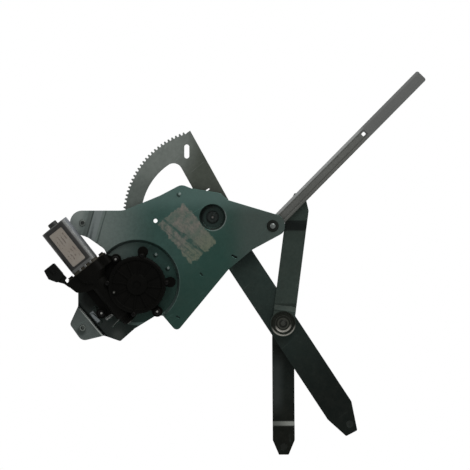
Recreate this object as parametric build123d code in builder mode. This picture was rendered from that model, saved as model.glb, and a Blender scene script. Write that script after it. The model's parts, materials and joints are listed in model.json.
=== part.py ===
from build123d import *

# Power window regulator of the cross-arm kind, with its gear motor.
#
# Millimetres, +X to the right and +Z up as seen from the motor side, +Y from the motor side to
# the glass side. The origin is the centre of the locating hole, on the base plate's front face.
# The arms stand fully lowered and the guide rail hangs loose on its pivot.
import os
from math import acos, atan2, cos, degrees, radians, sin, sqrt

os.makedirs("parts", exist_ok=True)

# ---------------------------------------------------------------- driving dimensions
# sheet metal
PLATE_T = 2.0            # base plate
SECTOR_T = 3.0           # gear sector
ARM_T = 3.0              # lift arm
AUX_T = 2.5              # both halves of the crossing arm
RAIL_T = 1.2             # guide rail
SHEET_GAP = 0.3          # air between sheets that pass each other
RUN_FIT = 0.05           # radial clearance of a shaft in its bush
SLIDE_FIT = 0.2          # side clearance of the guide shoe in its rail

# places on the plate, as (x, z)
HUB = (76.0, 4.8)                  # main pivot
RAIL_PIVOT = (156.3, -6.8)         # pivot of the guide rail
UPPER_EAR = (-97.6, -2.9)          # upper mounting ear
LOWER_EAR = (-97.3, -142.9)        # lower mounting ear

# gears
MODULE = 1.77
ADDENDUM, DEDENDUM = 0.75, 0.9      # stub teeth, as shares of the module
PRESSURE_ANGLE = 20.0
SECTOR_TEETH = 134                 # on a full circle
PINION_TEETH = 18
BACKLASH = 0.16                    # taken off each tooth at the pitch line
MESH_ANGLE = 221.95                # direction from the main pivot to the pinion
TEETH_ABOVE = 42                   # sector teeth above the one in mesh
TEETH_BELOW = 4                    # sector teeth below it
RING_W = 24.1                      # sector ring, from its root circle inwards
SECTOR_HUB_R = 30.0
SPOKE_ANGLE = 119.0                # upper spoke
SPOKE_W = 34.5
SLOT_L, SLOT_W = 18.8, 6.7         # hanging slot in the upper spoke
SLOT_PLACE = (41.5, 92.9)

# arms
ARM_ANGLE = -56.4                  # lift arm, from +X
CROSS_REACH = 170.6                # main pivot to cross pivot
LIFT_REACH = 332.0                 # main pivot to the lift roller
ARM_W = 40.0
ARM_ROOT = 34.0                    # how far the lift arm runs past the main pivot
AUX_ANGLE = 82.75                  # upper half of the crossing arm
AUX_KINK = 7.6                     # bend between its halves
AUX_REACH = 167.5                  # cross pivot to the guide pin
AUX_LOW_REACH = 165.6              # cross pivot to the lower roller
AUX_W = 29.5
AUX_STEP = 3.0                     # joggle along the crossing arm
TIP_TAPER = 9.0                    # how far before its pin an arm starts to narrow
TIP_END = 10.5                     # how far an arm runs past its pin
TIP_W = 13.0                       # width of an arm's blunt end
ARM_LEAN = 1.5                     # how far the lift arm's far end leans off its line

# guide rail
RAIL_L = 283.0                     # from its pivot to its free end
RAIL_W = 17.0
RAIL_DEPTH = 7.5
FLUTE_L = 177.0                    # end of the rolled flute, from the pivot
FLUTE_START = 13.0
FLUTE_W = 9.4
FLUTE_DEPTH = 1.2
FLUTE_LEAN = 45.0                  # slope of the flute's sides
SHOE_L = 24.0
GUIDE_PIN_R = 4.0

# plate forms
PAN_PLACE = (-24.7, -82.1)         # centre of the motor pan
PAN_R = 57.0                       # its rim
PAN_DEPTH = 7.0
PAN_SLOPE = 3.5                    # how far the pan's wall leans in
PAN_OPENS = 232.0                  # direction in which the pan runs out to the edge
PAN_HOLE_R = 21.0
DISH_R = 17.7                      # rim of the pivot dish
DISH_FLOOR_R = 14.5
EAR_STEP = 3.0                     # how far the mounting ears stand back
LOCATING_R = 2.75
NUT_FLATS = 10.0
NUT_H = 5.0
NUT_THREAD_R = 2.55                # tapped bore of the ear nuts
NUT_COLLAR_R = 4.6
NUT_FLOOR = 1.2                    # the nuts are closed behind
MARK_L, MARK_W = 5.4, 2.4          # half-pierced marks in the plate
MARK_DEPTH = 1.2
MARKS = (((30.0, -128.4), -35.0), ((61.2, -71.4), -48.0))
PIP_R = 2.8
PIP_H = 1.4
PIPS = (((31.9, 35.5), 0.0), ((0.2, -45.3), PAN_DEPTH), ((16.5, -63.3), PAN_DEPTH),
        ((-80.5, -116.8), PAN_DEPTH))      # places and the levels they stand on

# main pivot
STUD_R = 7.0
STUD_NECK_R = 5.0
BUSH_WALL = 2.0
WASHER_T = 1.2
WASHER_R = 13.0
FLOAT = 0.15                       # axial play each side of a washer
PIVOT_HEAD_R = 8.5
PIVOT_HEAD_H = 1.8
RIVET_R = 4.5
RIVET_HEAD_R = 6.2
RIVET_HEAD_H = 1.3

# rail pivot
RAIL_RIVET_R = 3.0
RAIL_BUSH_R = 7.95
RAIL_BUSH_NECK_R = 5.9
RAIL_BUSH_H = 1.8

# cross pivot
CUP_R = 17.3                       # round end of either half arm
CUP_STEPS = ((15.4, 0.0), (14.2, 0.5), (12.2, 0.5), (10.6, 1.0))   # radius, share of the cup's depth
CUP_WALL = 0.9
CROSS_R = 8.0
CROSS_NECK_R = 4.5
CROSS_HEAD_R = 5.4

# rollers
ROLLER_R = 7.8
ROLLER_W = 7.0
JOURNAL_R = 4.0
STUD_SHOULDER_R = 5.8

# gear motor; its own frame has x along the motor shaft, from the can to the gear housing
WORM_ANGLE = -51.5
WORM_OFFSET = 37.8                 # between the motor shaft and the output shaft
WORM_DEPTH = -13.0                 # the motor shaft's y
WORM_R = 5.0
WORM_L = 26.0
WHEEL_TEETH = 66
WHEEL_MODULE = 0.96
WHEEL_W = 9.0
COVER_R = 38.0
COVER_H = 4.5
WALL = 2.2                         # moulded walls of the gear housing
POT_DEPTH = 22.5                   # gear pot, from the cover's seat
TUBE_R = 11.5                      # worm tube
TUBE_END = 32.2                    # its end past the output shaft
TUBE_STEP = 18.5                   # where it narrows to its nose
TUBE_NOSE_R = 8.8
NOSE_BORE_R = 6.4
MOUNT_R = 44.5                     # output shaft to the two near screws
MOUNT_DROP = 1.4                   # and how far they lie off its centre line
OUTER_SCREW = 23.0                 # motor shaft to the far screw
LUG_R = 7.0
SCREW_R = 2.6
SCREW_HEAD_R = 4.4
CAN_START = 63.7                   # output shaft to the can's open end, along the motor shaft
CAN_L = 65.8
CAN_W = 40.0
CAN_T = 30.0
CAN_CORNER = 12.0
CAN_WALL = 1.5
COLLAR_T = 4.0
END_BOSS_R = 6.5
END_BOSS_L = 6.0
SHAFT_R = 3.0
STACK_R = 11.0
STACK_L = 30.0
PLUG_H = 14.0                      # height of the connector shell

# ---------------------------------------------------------------- levels along Y
RAIL_FRONT = PLATE_T + SHEET_GAP
RAIL_BACK = RAIL_FRONT + RAIL_DEPTH
FLUTE_BACK = RAIL_FRONT + FLUTE_DEPTH + RAIL_T
AUX_FRONT = RAIL_BACK + SHEET_GAP
AUX_MID = AUX_FRONT + AUX_STEP
ARM_FRONT = AUX_MID + AUX_T + SHEET_GAP
ARM_BACK = ARM_FRONT + ARM_T
SECTOR_FRONT = ARM_FRONT - SECTOR_T
DISH_FLOOR = SECTOR_FRONT - 2 * FLOAT - WASHER_T - PLATE_T
PIVOT_BACK = ARM_BACK + 2 * FLOAT + WASHER_T + 0.9    # rear end of the main pivot
LOW_NEAR = ARM_BACK + SHEET_GAP                       # lower half beside the cross pivot
LOW_TIP = PIVOT_BACK + SHEET_GAP                      # lower half at its tip
LOW_MID = LOW_TIP + AUX_STEP
ROLLER_FRONT = LOW_TIP + AUX_T + SHEET_GAP
ROLLER_BACK = ROLLER_FRONT + ROLLER_W
CUP_FLOOR = ARM_FRONT - SHEET_GAP - AUX_T
EAR_FRONT = EAR_STEP
COVER_SEAT = WORM_DEPTH - TUBE_R
POT_BACK = COVER_SEAT + POT_DEPTH
WHEEL_FRONT = WORM_DEPTH - WHEEL_W / 2
WHEEL_BACK = WORM_DEPTH + WHEEL_W / 2


# ---------------------------------------------------------------- helpers
def facing(y, place=(0.0, 0.0), angle=0.0):
    """A sketch plane parallel to the base plate at depth y, seen from the motor side."""
    a = radians(angle)
    return Plane(origin=(place[0], y, place[1]), x_dir=(cos(a), 0, sin(a)), z_dir=(0, -1, 0))


def section(place, angle=0.0):
    """A sketch plane square to the base plate: x runs along the angle, y is the depth."""
    a = radians(angle)
    return Plane(origin=(place[0], 0, place[1]), x_dir=(cos(a), 0, sin(a)), z_dir=(-sin(a), 0, cos(a)))


def across(place):
    """The axis through a place, square to the base plate."""
    return Axis((place[0], 0, place[1]), (0, 1, 0))


def at(place, reach, angle):
    """The place at a reach and a direction from another."""
    return (place[0] + reach * cos(radians(angle)), place[1] + reach * sin(radians(angle)))


def outline(*corners):
    """A closed outline in the current sketch; a corner is (x, y) or (x, y, radius)."""
    radii = [corner[2] if len(corner) > 2 else 0 for corner in corners]
    with BuildLine() as edge:
        FilletPolyline(*[corner[:2] for corner in corners], radius=radii, close=True)
    make_face(edge.edges())


def turned(place, *profile, mode=Mode.ADD):
    """A solid turned about the axis through a place, from (radius, y) corners."""
    with BuildSketch(section(place)) as half:
        with BuildLine():
            Polyline(*profile, close=True)
        make_face()
    revolve(half.sketch, axis=across(place), mode=mode)


def ring(place, outer, inner, y0, y1, mode=Mode.ADD):
    """A plain ring or, with no inner radius, a disc from y0 to y1."""
    with BuildSketch(facing(y1, place)) as flat:
        Circle(outer)
        if inner > 0:
            Circle(inner, mode=Mode.SUBTRACT)
    extrude(flat.sketch, amount=y1 - y0, mode=mode)


def folded(place, angle, half_width, thickness, *front):
    """A folded sheet: its front line is given as (x, y) along the angle."""
    back = [(x, y + thickness) for x, y in reversed(front)]
    with BuildSketch(section(place, angle)) as side:
        with BuildLine():
            Polyline(*front, *back, close=True)
        make_face()
    extrude(side.sketch, amount=half_width, both=True)


def finish(piece, name):
    """Label a piece and write it."""
    piece.part.label = name
    export_step(piece.part, f"parts/{name}.step")
    print(f"{name}: {len(piece.part.solids())} solid(s), {piece.part.volume:.0f} mm3")


# ---------------------------------------------------------------- places worked out
PITCH = 360 / SECTOR_TEETH
MOTOR = at(HUB, MODULE * (SECTOR_TEETH + PINION_TEETH) / 2, MESH_ANGLE)
CROSS = at(HUB, CROSS_REACH, ARM_ANGLE)
LIFT = at(HUB, LIFT_REACH, ARM_ANGLE)
GUIDE = at(CROSS, AUX_REACH, AUX_ANGLE)
LOW_ANGLE = AUX_ANGLE - 180 + AUX_KINK
LOW = at(CROSS, AUX_LOW_REACH, LOW_ANGLE)
RAIL_ANGLE = degrees(atan2(GUIDE[1] - RAIL_PIVOT[1], GUIDE[0] - RAIL_PIVOT[0]))


def on_motor(x, y):
    """A place given in the motor's frame, about the output shaft."""
    a = radians(WORM_ANGLE)
    return (MOTOR[0] + x * cos(a) - y * sin(a), MOTOR[1] + x * sin(a) + y * cos(a))


def on_shaft(x):
    """A sketch plane square to the motor shaft: x runs towards the output shaft, y to the viewer."""
    a = radians(WORM_ANGLE)
    place = on_motor(x, -WORM_OFFSET)
    return Plane(origin=(place[0], WORM_DEPTH, place[1]), x_dir=(-sin(a), 0, cos(a)),
                 z_dir=(cos(a), 0, sin(a)))


def rod(x0, x1, outer, inner=0.0, lateral=0.0, mode=Mode.ADD):
    """A round bar or tube along the motor shaft, or beside it."""
    with BuildSketch(on_shaft(x0)) as round_end:
        with Locations((lateral, 0)):
            Circle(outer)
            if inner > 0:
                Circle(inner, mode=Mode.SUBTRACT)
    extrude(round_end.sketch, amount=x1 - x0, mode=mode)


MOUNTS = [on_motor(MOUNT_R, -MOUNT_DROP), on_motor(-MOUNT_R, -MOUNT_DROP),
          on_motor(0, -WORM_OFFSET - OUTER_SCREW)]


# ---------------------------------------------------------------- base plate
def pan_region(radius):
    """The motor pan: round at the gear motor and running out to the plate's edge."""
    run = 150.0
    Circle(radius)
    with Locations((run / 2, 0)):
        Rectangle(run, 2 * radius)


# each mounting ear's fold: place, direction, half width and front line
UPPER_FOLD = ((-71.1, -8.5), 166.5, 32.0, ((0, 0), (1.6, 0.9), (10.6, 1.2), (13.6, EAR_FRONT)))
LOWER_FOLD = ((-84.0, -131.6), 221.2, 34.0, ((0, PAN_DEPTH), (3.8, EAR_FRONT)))
PAN_WALL = 0.8                                 # extra metal behind the pan's wall
DISH_WALL = 1.4
EAR_REACH = 60.0

with BuildPart() as base_plate:
    with BuildSketch(facing(PLATE_T)):
        with Locations((HUB[0] - 40, HUB[1] - 60)):
            Rectangle(340, 280)
    extrude(amount=PLATE_T)
    # motor pan
    for rim, lean, start, mode in ((PAN_R + PAN_WALL, PAN_SLOPE, PLATE_T, Mode.ADD),
                                   (PAN_R, PAN_SLOPE, 0.0, Mode.SUBTRACT)):
        with BuildSketch(facing(start, PAN_PLACE, PAN_OPENS)):
            pan_region(rim)
        with BuildSketch(facing(start + PAN_DEPTH, PAN_PLACE, PAN_OPENS)):
            pan_region(rim - lean)
        loft(ruled=True, mode=mode)
    # pivot dish
    turned(HUB, (0, PLATE_T), (DISH_R + DISH_WALL, PLATE_T),
           (DISH_FLOOR_R + DISH_WALL, DISH_FLOOR + PLATE_T), (0, DISH_FLOOR + PLATE_T))
    turned(HUB, (0, 0), (DISH_R, 0), (DISH_FLOOR_R, DISH_FLOOR), (0, DISH_FLOOR), mode=Mode.SUBTRACT)
    # mounting ears, joggled back from the plate and forward from the pan
    for fold, angle, half_width, front in (UPPER_FOLD, LOWER_FOLD):
        with BuildSketch(section(fold, angle)):
            with Locations((EAR_REACH / 2, PAN_DEPTH / 2)):
                Rectangle(EAR_REACH, 4 * PAN_DEPTH)
        extrude(amount=half_width, both=True, mode=Mode.SUBTRACT)
        folded(fold, angle, half_width, PLATE_T, *front, (EAR_REACH, EAR_FRONT))
    # trim everything to the plate's outline
    with BuildSketch(facing(3 * PAN_DEPTH)):
        outline((-115.0, 13.7, 16), (-43.3, 13.7, 30), (-34.0, 17.1, 12), (5.9, 33.6, 60),
                (34.5, 48.6, 12), (48.4, 43.2, 10), (86.5, 37.0, 12), (96.5, 27.8, 4),
                (127.5, 18.5, 80), (173.6, 4.8, 15), (171.6, -15.6, 10), (128.7, -38.7, 40),
                (97.5, -64.7, 0), (28.4, -148.2, 6), (10.0, -126.6, 3), (-0.1, -126.8, 8),
                (-28.0, -143.9, 0), (-47.1, -160.8, 3), (-68.8, -153.3, 2), (-98.5, -160.5, 10),
                (-114.5, -138.0, 6), (-103.5, -114.0, 4), (-103.5, -94.1, 10), (-60.1, -43.2, 12),
                (-90.6, -21.9, 30), (-113.5, -14.6, 12))
    extrude(amount=6 * PAN_DEPTH, mode=Mode.INTERSECT)
    # holes
    for place, radius in ((HUB, STUD_NECK_R), (MOTOR, PAN_HOLE_R), ((0, 0), LOCATING_R),
                          (RAIL_PIVOT, RAIL_BUSH_NECK_R),
                          (UPPER_EAR, NUT_COLLAR_R - 0.8), (LOWER_EAR, NUT_COLLAR_R - 0.8),
                          *((place, SCREW_R) for place in MOUNTS)):
        ring(place, radius, 0, -PAN_DEPTH, 3 * PAN_DEPTH, mode=Mode.SUBTRACT)
    with BuildSketch(facing(PLATE_T + 1, (105.1, -47.5), -25)):
        SlotOverall(8.5, 2.6)
    extrude(amount=2 * PLATE_T, mode=Mode.SUBTRACT)
    for place, angle in MARKS:
        with BuildSketch(facing(MARK_DEPTH, place, angle)):
            SlotOverall(MARK_L, MARK_W)
        extrude(amount=MARK_DEPTH, mode=Mode.SUBTRACT)
    # stiffening beads of the pan floor, beside the lower ear
    for place, angle, length, width, height in (((-79.3, -130.9), -40, 20, 6.5, 1.8),
                                                ((-61.7, -129.9), 35, 9, 4.6, 1.4),
                                                ((-52.3, -137.6), 40, 15, 2.0, 1.6)):
        with BuildSketch(facing(PAN_DEPTH, place, angle)):
            SlotOverall(length, width)
        extrude(amount=height, taper=30)
    # half-pierced pips, at the top corner and in the pan
    for place, level in PIPS:
        with BuildSketch(facing(level, place)):
            Circle(PIP_R)
        extrude(amount=PIP_H, taper=30)
finish(base_plate, "base_plate")

with BuildPart() as ear_nuts:
    for place in (UPPER_EAR, LOWER_EAR):
        back = EAR_FRONT + PLATE_T
        with BuildSketch(facing(back + NUT_H, place)):
            RegularPolygon(NUT_FLATS / 2, 6, major_radius=False)
        extrude(amount=NUT_H)
        ring(place, NUT_COLLAR_R - 0.8, 0, EAR_FRONT - 0.5, back)
        turned(place, (0, EAR_FRONT), (NUT_COLLAR_R, EAR_FRONT),
               (NUT_COLLAR_R - 0.9, EAR_FRONT - 1.4), (0, EAR_FRONT - 1.4))
        ring(place, NUT_THREAD_R, 0, 0, back + NUT_H - NUT_FLOOR, mode=Mode.SUBTRACT)
finish(ear_nuts, "ear_nuts")


# ---------------------------------------------------------------- main pivot
with BuildPart() as main_pivot_stud:
    turned(HUB, (0, DISH_FLOOR - PIVOT_HEAD_H), (PIVOT_HEAD_R - 2.2, DISH_FLOOR - PIVOT_HEAD_H),
           (PIVOT_HEAD_R, DISH_FLOOR - 0.6), (PIVOT_HEAD_R, DISH_FLOOR),
           (STUD_NECK_R, DISH_FLOOR), (STUD_NECK_R, DISH_FLOOR + PLATE_T),
           (STUD_R, DISH_FLOOR + PLATE_T), (STUD_R, ARM_BACK + FLOAT),
           (STUD_NECK_R, ARM_BACK + FLOAT), (STUD_NECK_R, PIVOT_BACK - 0.9),
           (PIVOT_HEAD_R, PIVOT_BACK - 0.9), (PIVOT_HEAD_R - 1.5, PIVOT_BACK), (0, PIVOT_BACK))
    with BuildSketch(facing(DISH_FLOOR - PIVOT_HEAD_H + 0.01, HUB)):
        Circle(3.0)
    extrude(amount=0.9, taper=30)
finish(main_pivot_stud, "main_pivot_stud")

with BuildPart() as pivot_thrust_washer:
    ring(HUB, WASHER_R, STUD_R + RUN_FIT, DISH_FLOOR + PLATE_T + FLOAT, SECTOR_FRONT - FLOAT)
finish(pivot_thrust_washer, "pivot_thrust_washer")

with BuildPart() as pivot_back_washer:
    ring(HUB, WASHER_R - 1.5, STUD_NECK_R, ARM_BACK + FLOAT, PIVOT_BACK - 0.9)
finish(pivot_back_washer, "pivot_back_washer")

with BuildPart() as pivot_bush:
    ring(HUB, STUD_R + BUSH_WALL, STUD_R + RUN_FIT, SECTOR_FRONT, ARM_BACK)
finish(pivot_bush, "pivot_bush")


# ---------------------------------------------------------------- rail pivot
with BuildPart() as rail_pivot_bush:
    turned(RAIL_PIVOT, (RAIL_RIVET_R + RUN_FIT, -RAIL_BUSH_H), (RAIL_BUSH_R - 1.2, -RAIL_BUSH_H),
           (RAIL_BUSH_R, -0.6), (RAIL_BUSH_R, 0), (RAIL_BUSH_NECK_R, 0),
           (RAIL_BUSH_NECK_R, PLATE_T), (RAIL_RIVET_R + RUN_FIT, PLATE_T))
finish(rail_pivot_bush, "rail_pivot_bush")

with BuildPart() as rail_pivot_rivet:
    turned(RAIL_PIVOT, (0, -RAIL_BUSH_H - 2.0), (1.8, -RAIL_BUSH_H - 1.8), (3.4, -RAIL_BUSH_H - 1.0),
           (3.8, -RAIL_BUSH_H - 0.1), (RAIL_RIVET_R, -RAIL_BUSH_H - 0.1),
           (RAIL_RIVET_R, RAIL_FRONT + RAIL_T), (5.0, RAIL_FRONT + RAIL_T),
           (4.2, RAIL_FRONT + RAIL_T + 1.3), (0, RAIL_FRONT + RAIL_T + 1.3))
finish(rail_pivot_rivet, "rail_pivot_rivet")


# ---------------------------------------------------------------- gear teeth
def half_tooth(teeth, module, radius, backlash):
    """Half the angle of an involute tooth at a radius, in degrees."""
    pitch_r = module * teeth / 2
    base_r = pitch_r * cos(radians(PRESSURE_ANGLE))

    def involute(r):
        turn = sqrt(max((r / base_r) ** 2 - 1, 0))
        return turn - acos(min(base_r / r, 1))

    half = (involute(pitch_r) - involute(radius)) + (radians(90) - backlash / module) / teeth
    return degrees(half)


def gear_edge(teeth, module, directions, curved=True):
    """The toothed edge of a gear about the sketch's origin, one tooth for each direction.

    Returns the two ends of the edge.
    """
    pitch_r = module * teeth / 2
    root_r = pitch_r - DEDENDUM * module
    tip_r = pitch_r + ADDENDUM * module
    foot_r = max(root_r, pitch_r * cos(radians(PRESSURE_ANGLE)))
    levels = (foot_r, (foot_r + tip_r) / 2, tip_r)
    ends = []
    for direction in directions:
        flanks = [[at((0, 0), r, direction + side * half_tooth(teeth, module, r, BACKLASH))
                   for r in levels] for side in (-1, 1)]
        feet = [flank[0] for flank in flanks]
        if root_r < foot_r:
            feet = [at((0, 0), root_r, direction + side * half_tooth(teeth, module, foot_r, BACKLASH))
                    for side in (-1, 1)]
            Line(feet[0], flanks[0][0])
            Line(flanks[1][0], feet[1])
        if ends:
            Line(ends[-1], feet[0])
        if curved:
            ThreePointArc(*flanks[0])
            ThreePointArc(*reversed(flanks[1]))
        else:
            Line(flanks[0][0], flanks[0][-1])
            Line(flanks[1][-1], flanks[1][0])
        Line(flanks[0][-1], flanks[1][-1])
        ends += feet
    return ends[0], ends[-1]


def full_gear(teeth, module, start, curved=True):
    """A whole toothed wheel in the current sketch, with a tooth at the start direction."""
    with BuildLine() as edge:
        first, last = gear_edge(teeth, module, [start + 360 / teeth * n for n in range(teeth)], curved)
        Line(last, first)
    make_face(edge.edges())


# ---------------------------------------------------------------- gear sector
SECTOR_DIRECTIONS = [MESH_ANGLE + PITCH * n for n in range(-TEETH_ABOVE, TEETH_BELOW + 1)]
SECTOR_ROOT_R = MODULE * (SECTOR_TEETH / 2 - DEDENDUM)
SECTOR_TIP_R = MODULE * (SECTOR_TEETH / 2 + ADDENDUM)
RING_R = SECTOR_ROOT_R - RING_W
TONGUE_L, TONGUE_W = 50.0, 36.0
RIVETS = [at(at(HUB, 36.0, ARM_ANGLE), offset, ARM_ANGLE + 90) for offset in (-10.5, 10.5)]
RIVETS.append(at(HUB, -24.5, ARM_ANGLE))
WINDOW_CORNER = 12.0
WINDOW_HUB_R = 40.0
WINDOW_LEAN = 2.6                  # how far the window's arc leans off the ring
STOP_REACH, STOP_ANGLE = 37.4, 99.8
STOP_H = 2.2                       # how far the lanced stop stands back


def offset_line(angle, offset, reach):
    """A point at a reach along a line that passes the origin at an offset on its right."""
    return (reach * cos(radians(angle)) + offset * sin(radians(angle)),
            reach * sin(radians(angle)) - offset * cos(radians(angle)))


END_ANGLE = SECTOR_DIRECTIONS[-1] + PITCH / 2
LOW_SPOKE = END_ANGLE - degrees(acos(sqrt(1 - (SECTOR_HUB_R / SECTOR_ROOT_R) ** 2)))

with BuildPart() as sector_gear:
    with BuildSketch(facing(SECTOR_FRONT + SECTOR_T, HUB)):
        with BuildLine():
            first, last = gear_edge(SECTOR_TEETH, MODULE, SECTOR_DIRECTIONS)
            corner = offset_line(SPOKE_ANGLE, SECTOR_HUB_R,
                                 sqrt(SECTOR_TIP_R ** 2 - SECTOR_HUB_R ** 2))
            upper = offset_line(SPOKE_ANGLE, SECTOR_HUB_R, 0)
            lower = offset_line(LOW_SPOKE, -SECTOR_HUB_R, 0)
            Line(first, corner)
            Line(corner, upper)
            ThreePointArc(upper, at((0, 0), SECTOR_HUB_R, ARM_ANGLE + 45), lower)
            Line(lower, last)
        make_face()
        # tongue under the lift arm
        with Locations(Location((TONGUE_L / 2 * cos(radians(ARM_ANGLE)),
                                 TONGUE_L / 2 * sin(radians(ARM_ANGLE))), ARM_ANGLE)):
            RectangleRounded(TONGUE_L, TONGUE_W, 9)
    extrude(amount=SECTOR_T)
    # window between the ring, the spokes and the hub
    with BuildSketch(facing(SECTOR_FRONT + SECTOR_T, HUB)):
        inset = SPOKE_W - SECTOR_HUB_R
        near, far = sqrt(WINDOW_HUB_R ** 2 - inset ** 2), sqrt(RING_R ** 2 - inset ** 2)
        high = [offset_line(SPOKE_ANGLE, -inset, reach) for reach in (near, far - WINDOW_LEAN)]
        middle = (SPOKE_ANGLE + LOW_SPOKE) / 2
        low = [offset_line(LOW_SPOKE, inset, reach) for reach in (near, far)]
        with BuildLine():
            Line(*high)
            ThreePointArc(high[1], at((0, 0), RING_R + WINDOW_LEAN, middle), low[1])
            Line(*low)
            ThreePointArc(low[0], at((0, 0), WINDOW_HUB_R, middle), high[0])
        make_face()
        fillet(vertices(), WINDOW_CORNER)
        # hanging slot
        with Locations(Location((SLOT_PLACE[0] - HUB[0], SLOT_PLACE[1] - HUB[1]), 90)):
            SlotOverall(SLOT_L, SLOT_W)
        # pierced stop window
        with Locations(Location(at((0, 0), STOP_REACH, STOP_ANGLE), 35)):
            RectangleRounded(5.0, 1.8, 0.5)
    extrude(amount=SECTOR_T, mode=Mode.SUBTRACT)
    # lanced stop, standing back from the sheet
    with BuildSketch(facing(SECTOR_FRONT + SECTOR_T + STOP_H, HUB)):
        with Locations(at((0, 0), STOP_REACH + 3.4, STOP_ANGLE)):
            Rectangle(7, 3)
    extrude(amount=STOP_H + SECTOR_T / 2)
    ring(HUB, STUD_R + BUSH_WALL, 0, SECTOR_FRONT, ARM_BACK, mode=Mode.SUBTRACT)
    for place in RIVETS:
        ring(place, RIVET_R, 0, SECTOR_FRONT, ARM_BACK, mode=Mode.SUBTRACT)
finish(sector_gear, "sector_gear")


# ---------------------------------------------------------------- lift arm
def strip(half_width, start, *tip):
    """The outline of a flat arm along the sketch's x, from its root to its tapered tip."""
    outline((start, half_width, 0.8 * half_width), (start, -half_width, 0.8 * half_width), *tip)


with BuildPart() as lift_arm:
    with BuildSketch(facing(ARM_BACK, HUB, ARM_ANGLE)):
        strip(ARM_W / 2, -ARM_ROOT, (LIFT_REACH - 21, -ARM_W / 2 - ARM_LEAN, 6),
              (LIFT_REACH + TIP_END + 0.5, -13.2, 2), (LIFT_REACH + TIP_END + 2.2, 3.6, 2),
              (LIFT_REACH - 24, ARM_W / 2 - ARM_LEAN, 6))
    extrude(amount=ARM_T)
    for place, radius in ((HUB, STUD_R + BUSH_WALL), (CROSS, CROSS_R + BUSH_WALL), (LIFT, RIVET_R),
                          *((place, RIVET_R) for place in RIVETS)):
        ring(place, radius, 0, ARM_FRONT, ARM_BACK, mode=Mode.SUBTRACT)
finish(lift_arm, "lift_arm")

with BuildPart() as sector_rivets:
    for place in RIVETS:
        turned(place, (0, SECTOR_FRONT - RIVET_HEAD_H), (RIVET_HEAD_R - 1.6, SECTOR_FRONT - RIVET_HEAD_H),
               (RIVET_HEAD_R, SECTOR_FRONT), (RIVET_R, SECTOR_FRONT), (RIVET_R, ARM_BACK),
               (RIVET_HEAD_R, ARM_BACK), (RIVET_HEAD_R - 1.6, ARM_BACK + RIVET_HEAD_H),
               (0, ARM_BACK + RIVET_HEAD_H))
finish(sector_rivets, "sector_rivets")


def roller_stud(place, front, back):
    """A stud riveted flush into an arm, with a shoulder, a journal for a roller and a cap."""
    cap = ROLLER_BACK + SHEET_GAP
    turned(place, (0, front), (RIVET_R, front), (RIVET_R, back), (STUD_SHOULDER_R, back),
           (STUD_SHOULDER_R, ROLLER_FRONT - SHEET_GAP), (JOURNAL_R, ROLLER_FRONT - SHEET_GAP),
           (JOURNAL_R, cap), (JOURNAL_R + 1.5, cap), (JOURNAL_R + 0.5, cap + 1.2), (0, cap + 1.2))


def roller(place):
    """A crowned nylon roller with a plain bore."""
    turned(place, (JOURNAL_R + RUN_FIT, ROLLER_FRONT), (ROLLER_R - 1.4, ROLLER_FRONT),
           (ROLLER_R, ROLLER_FRONT + 1.4), (ROLLER_R, ROLLER_BACK - 1.4), (ROLLER_R - 1.4, ROLLER_BACK),
           (JOURNAL_R + RUN_FIT, ROLLER_BACK))


with BuildPart() as lift_stud:
    roller_stud(LIFT, ARM_FRONT, ARM_BACK)
finish(lift_stud, "lift_stud")

with BuildPart() as lift_roller:
    roller(LIFT)
finish(lift_roller, "lift_roller")


# ---------------------------------------------------------------- crossing arm
def half_arm(place, angle, front, taper_start, tip_end, tip_w):
    """Trim a folded sheet to a half of the crossing arm: a round end, a strip and a tapered tip."""
    with BuildSketch(facing(LOW_MID + 3 * AUX_T, place, angle)) as flat:
        Circle(CUP_R)
        outline((0, AUX_W / 2), (0, -AUX_W / 2), (taper_start, -AUX_W / 2, 4), (tip_end, -tip_w / 2, 1.5),
                (tip_end, tip_w / 2, 1.5), (taper_start, AUX_W / 2, 4))
    extrude(flat.sketch, amount=LOW_MID + 3 * AUX_T - front, mode=Mode.INTERSECT)


with BuildPart() as aux_arm_upper:
    folded(CROSS, AUX_ANGLE, CUP_R, AUX_T,
           (-CUP_R, AUX_FRONT), (CUP_R, AUX_FRONT), (CUP_R + 6.5, AUX_MID), (AUX_REACH - 41.5, AUX_MID),
           (AUX_REACH - 32, AUX_FRONT), (AUX_REACH + 2 * TIP_END, AUX_FRONT))
    half_arm(CROSS, AUX_ANGLE, AUX_FRONT, AUX_REACH - 1.5 * TIP_TAPER, AUX_REACH + TIP_END - 3, TIP_W + 1)
    # stepped cup round the cross pivot
    steps = [(radius, AUX_FRONT + share * (CUP_FLOOR - AUX_FRONT)) for radius, share in CUP_STEPS]
    turned(CROSS, (0, AUX_FRONT + AUX_T), *((radius + CUP_WALL, y + AUX_T) for radius, y in steps),
           (0, CUP_FLOOR + AUX_T))
    turned(CROSS, (0, AUX_FRONT), *steps, (0, CUP_FLOOR), mode=Mode.SUBTRACT)
    ring(CROSS, CROSS_NECK_R, 0, AUX_FRONT, ARM_FRONT, mode=Mode.SUBTRACT)
    ring(GUIDE, RIVET_R, 0, AUX_FRONT, ARM_FRONT, mode=Mode.SUBTRACT)
finish(aux_arm_upper, "aux_arm_upper")

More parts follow.
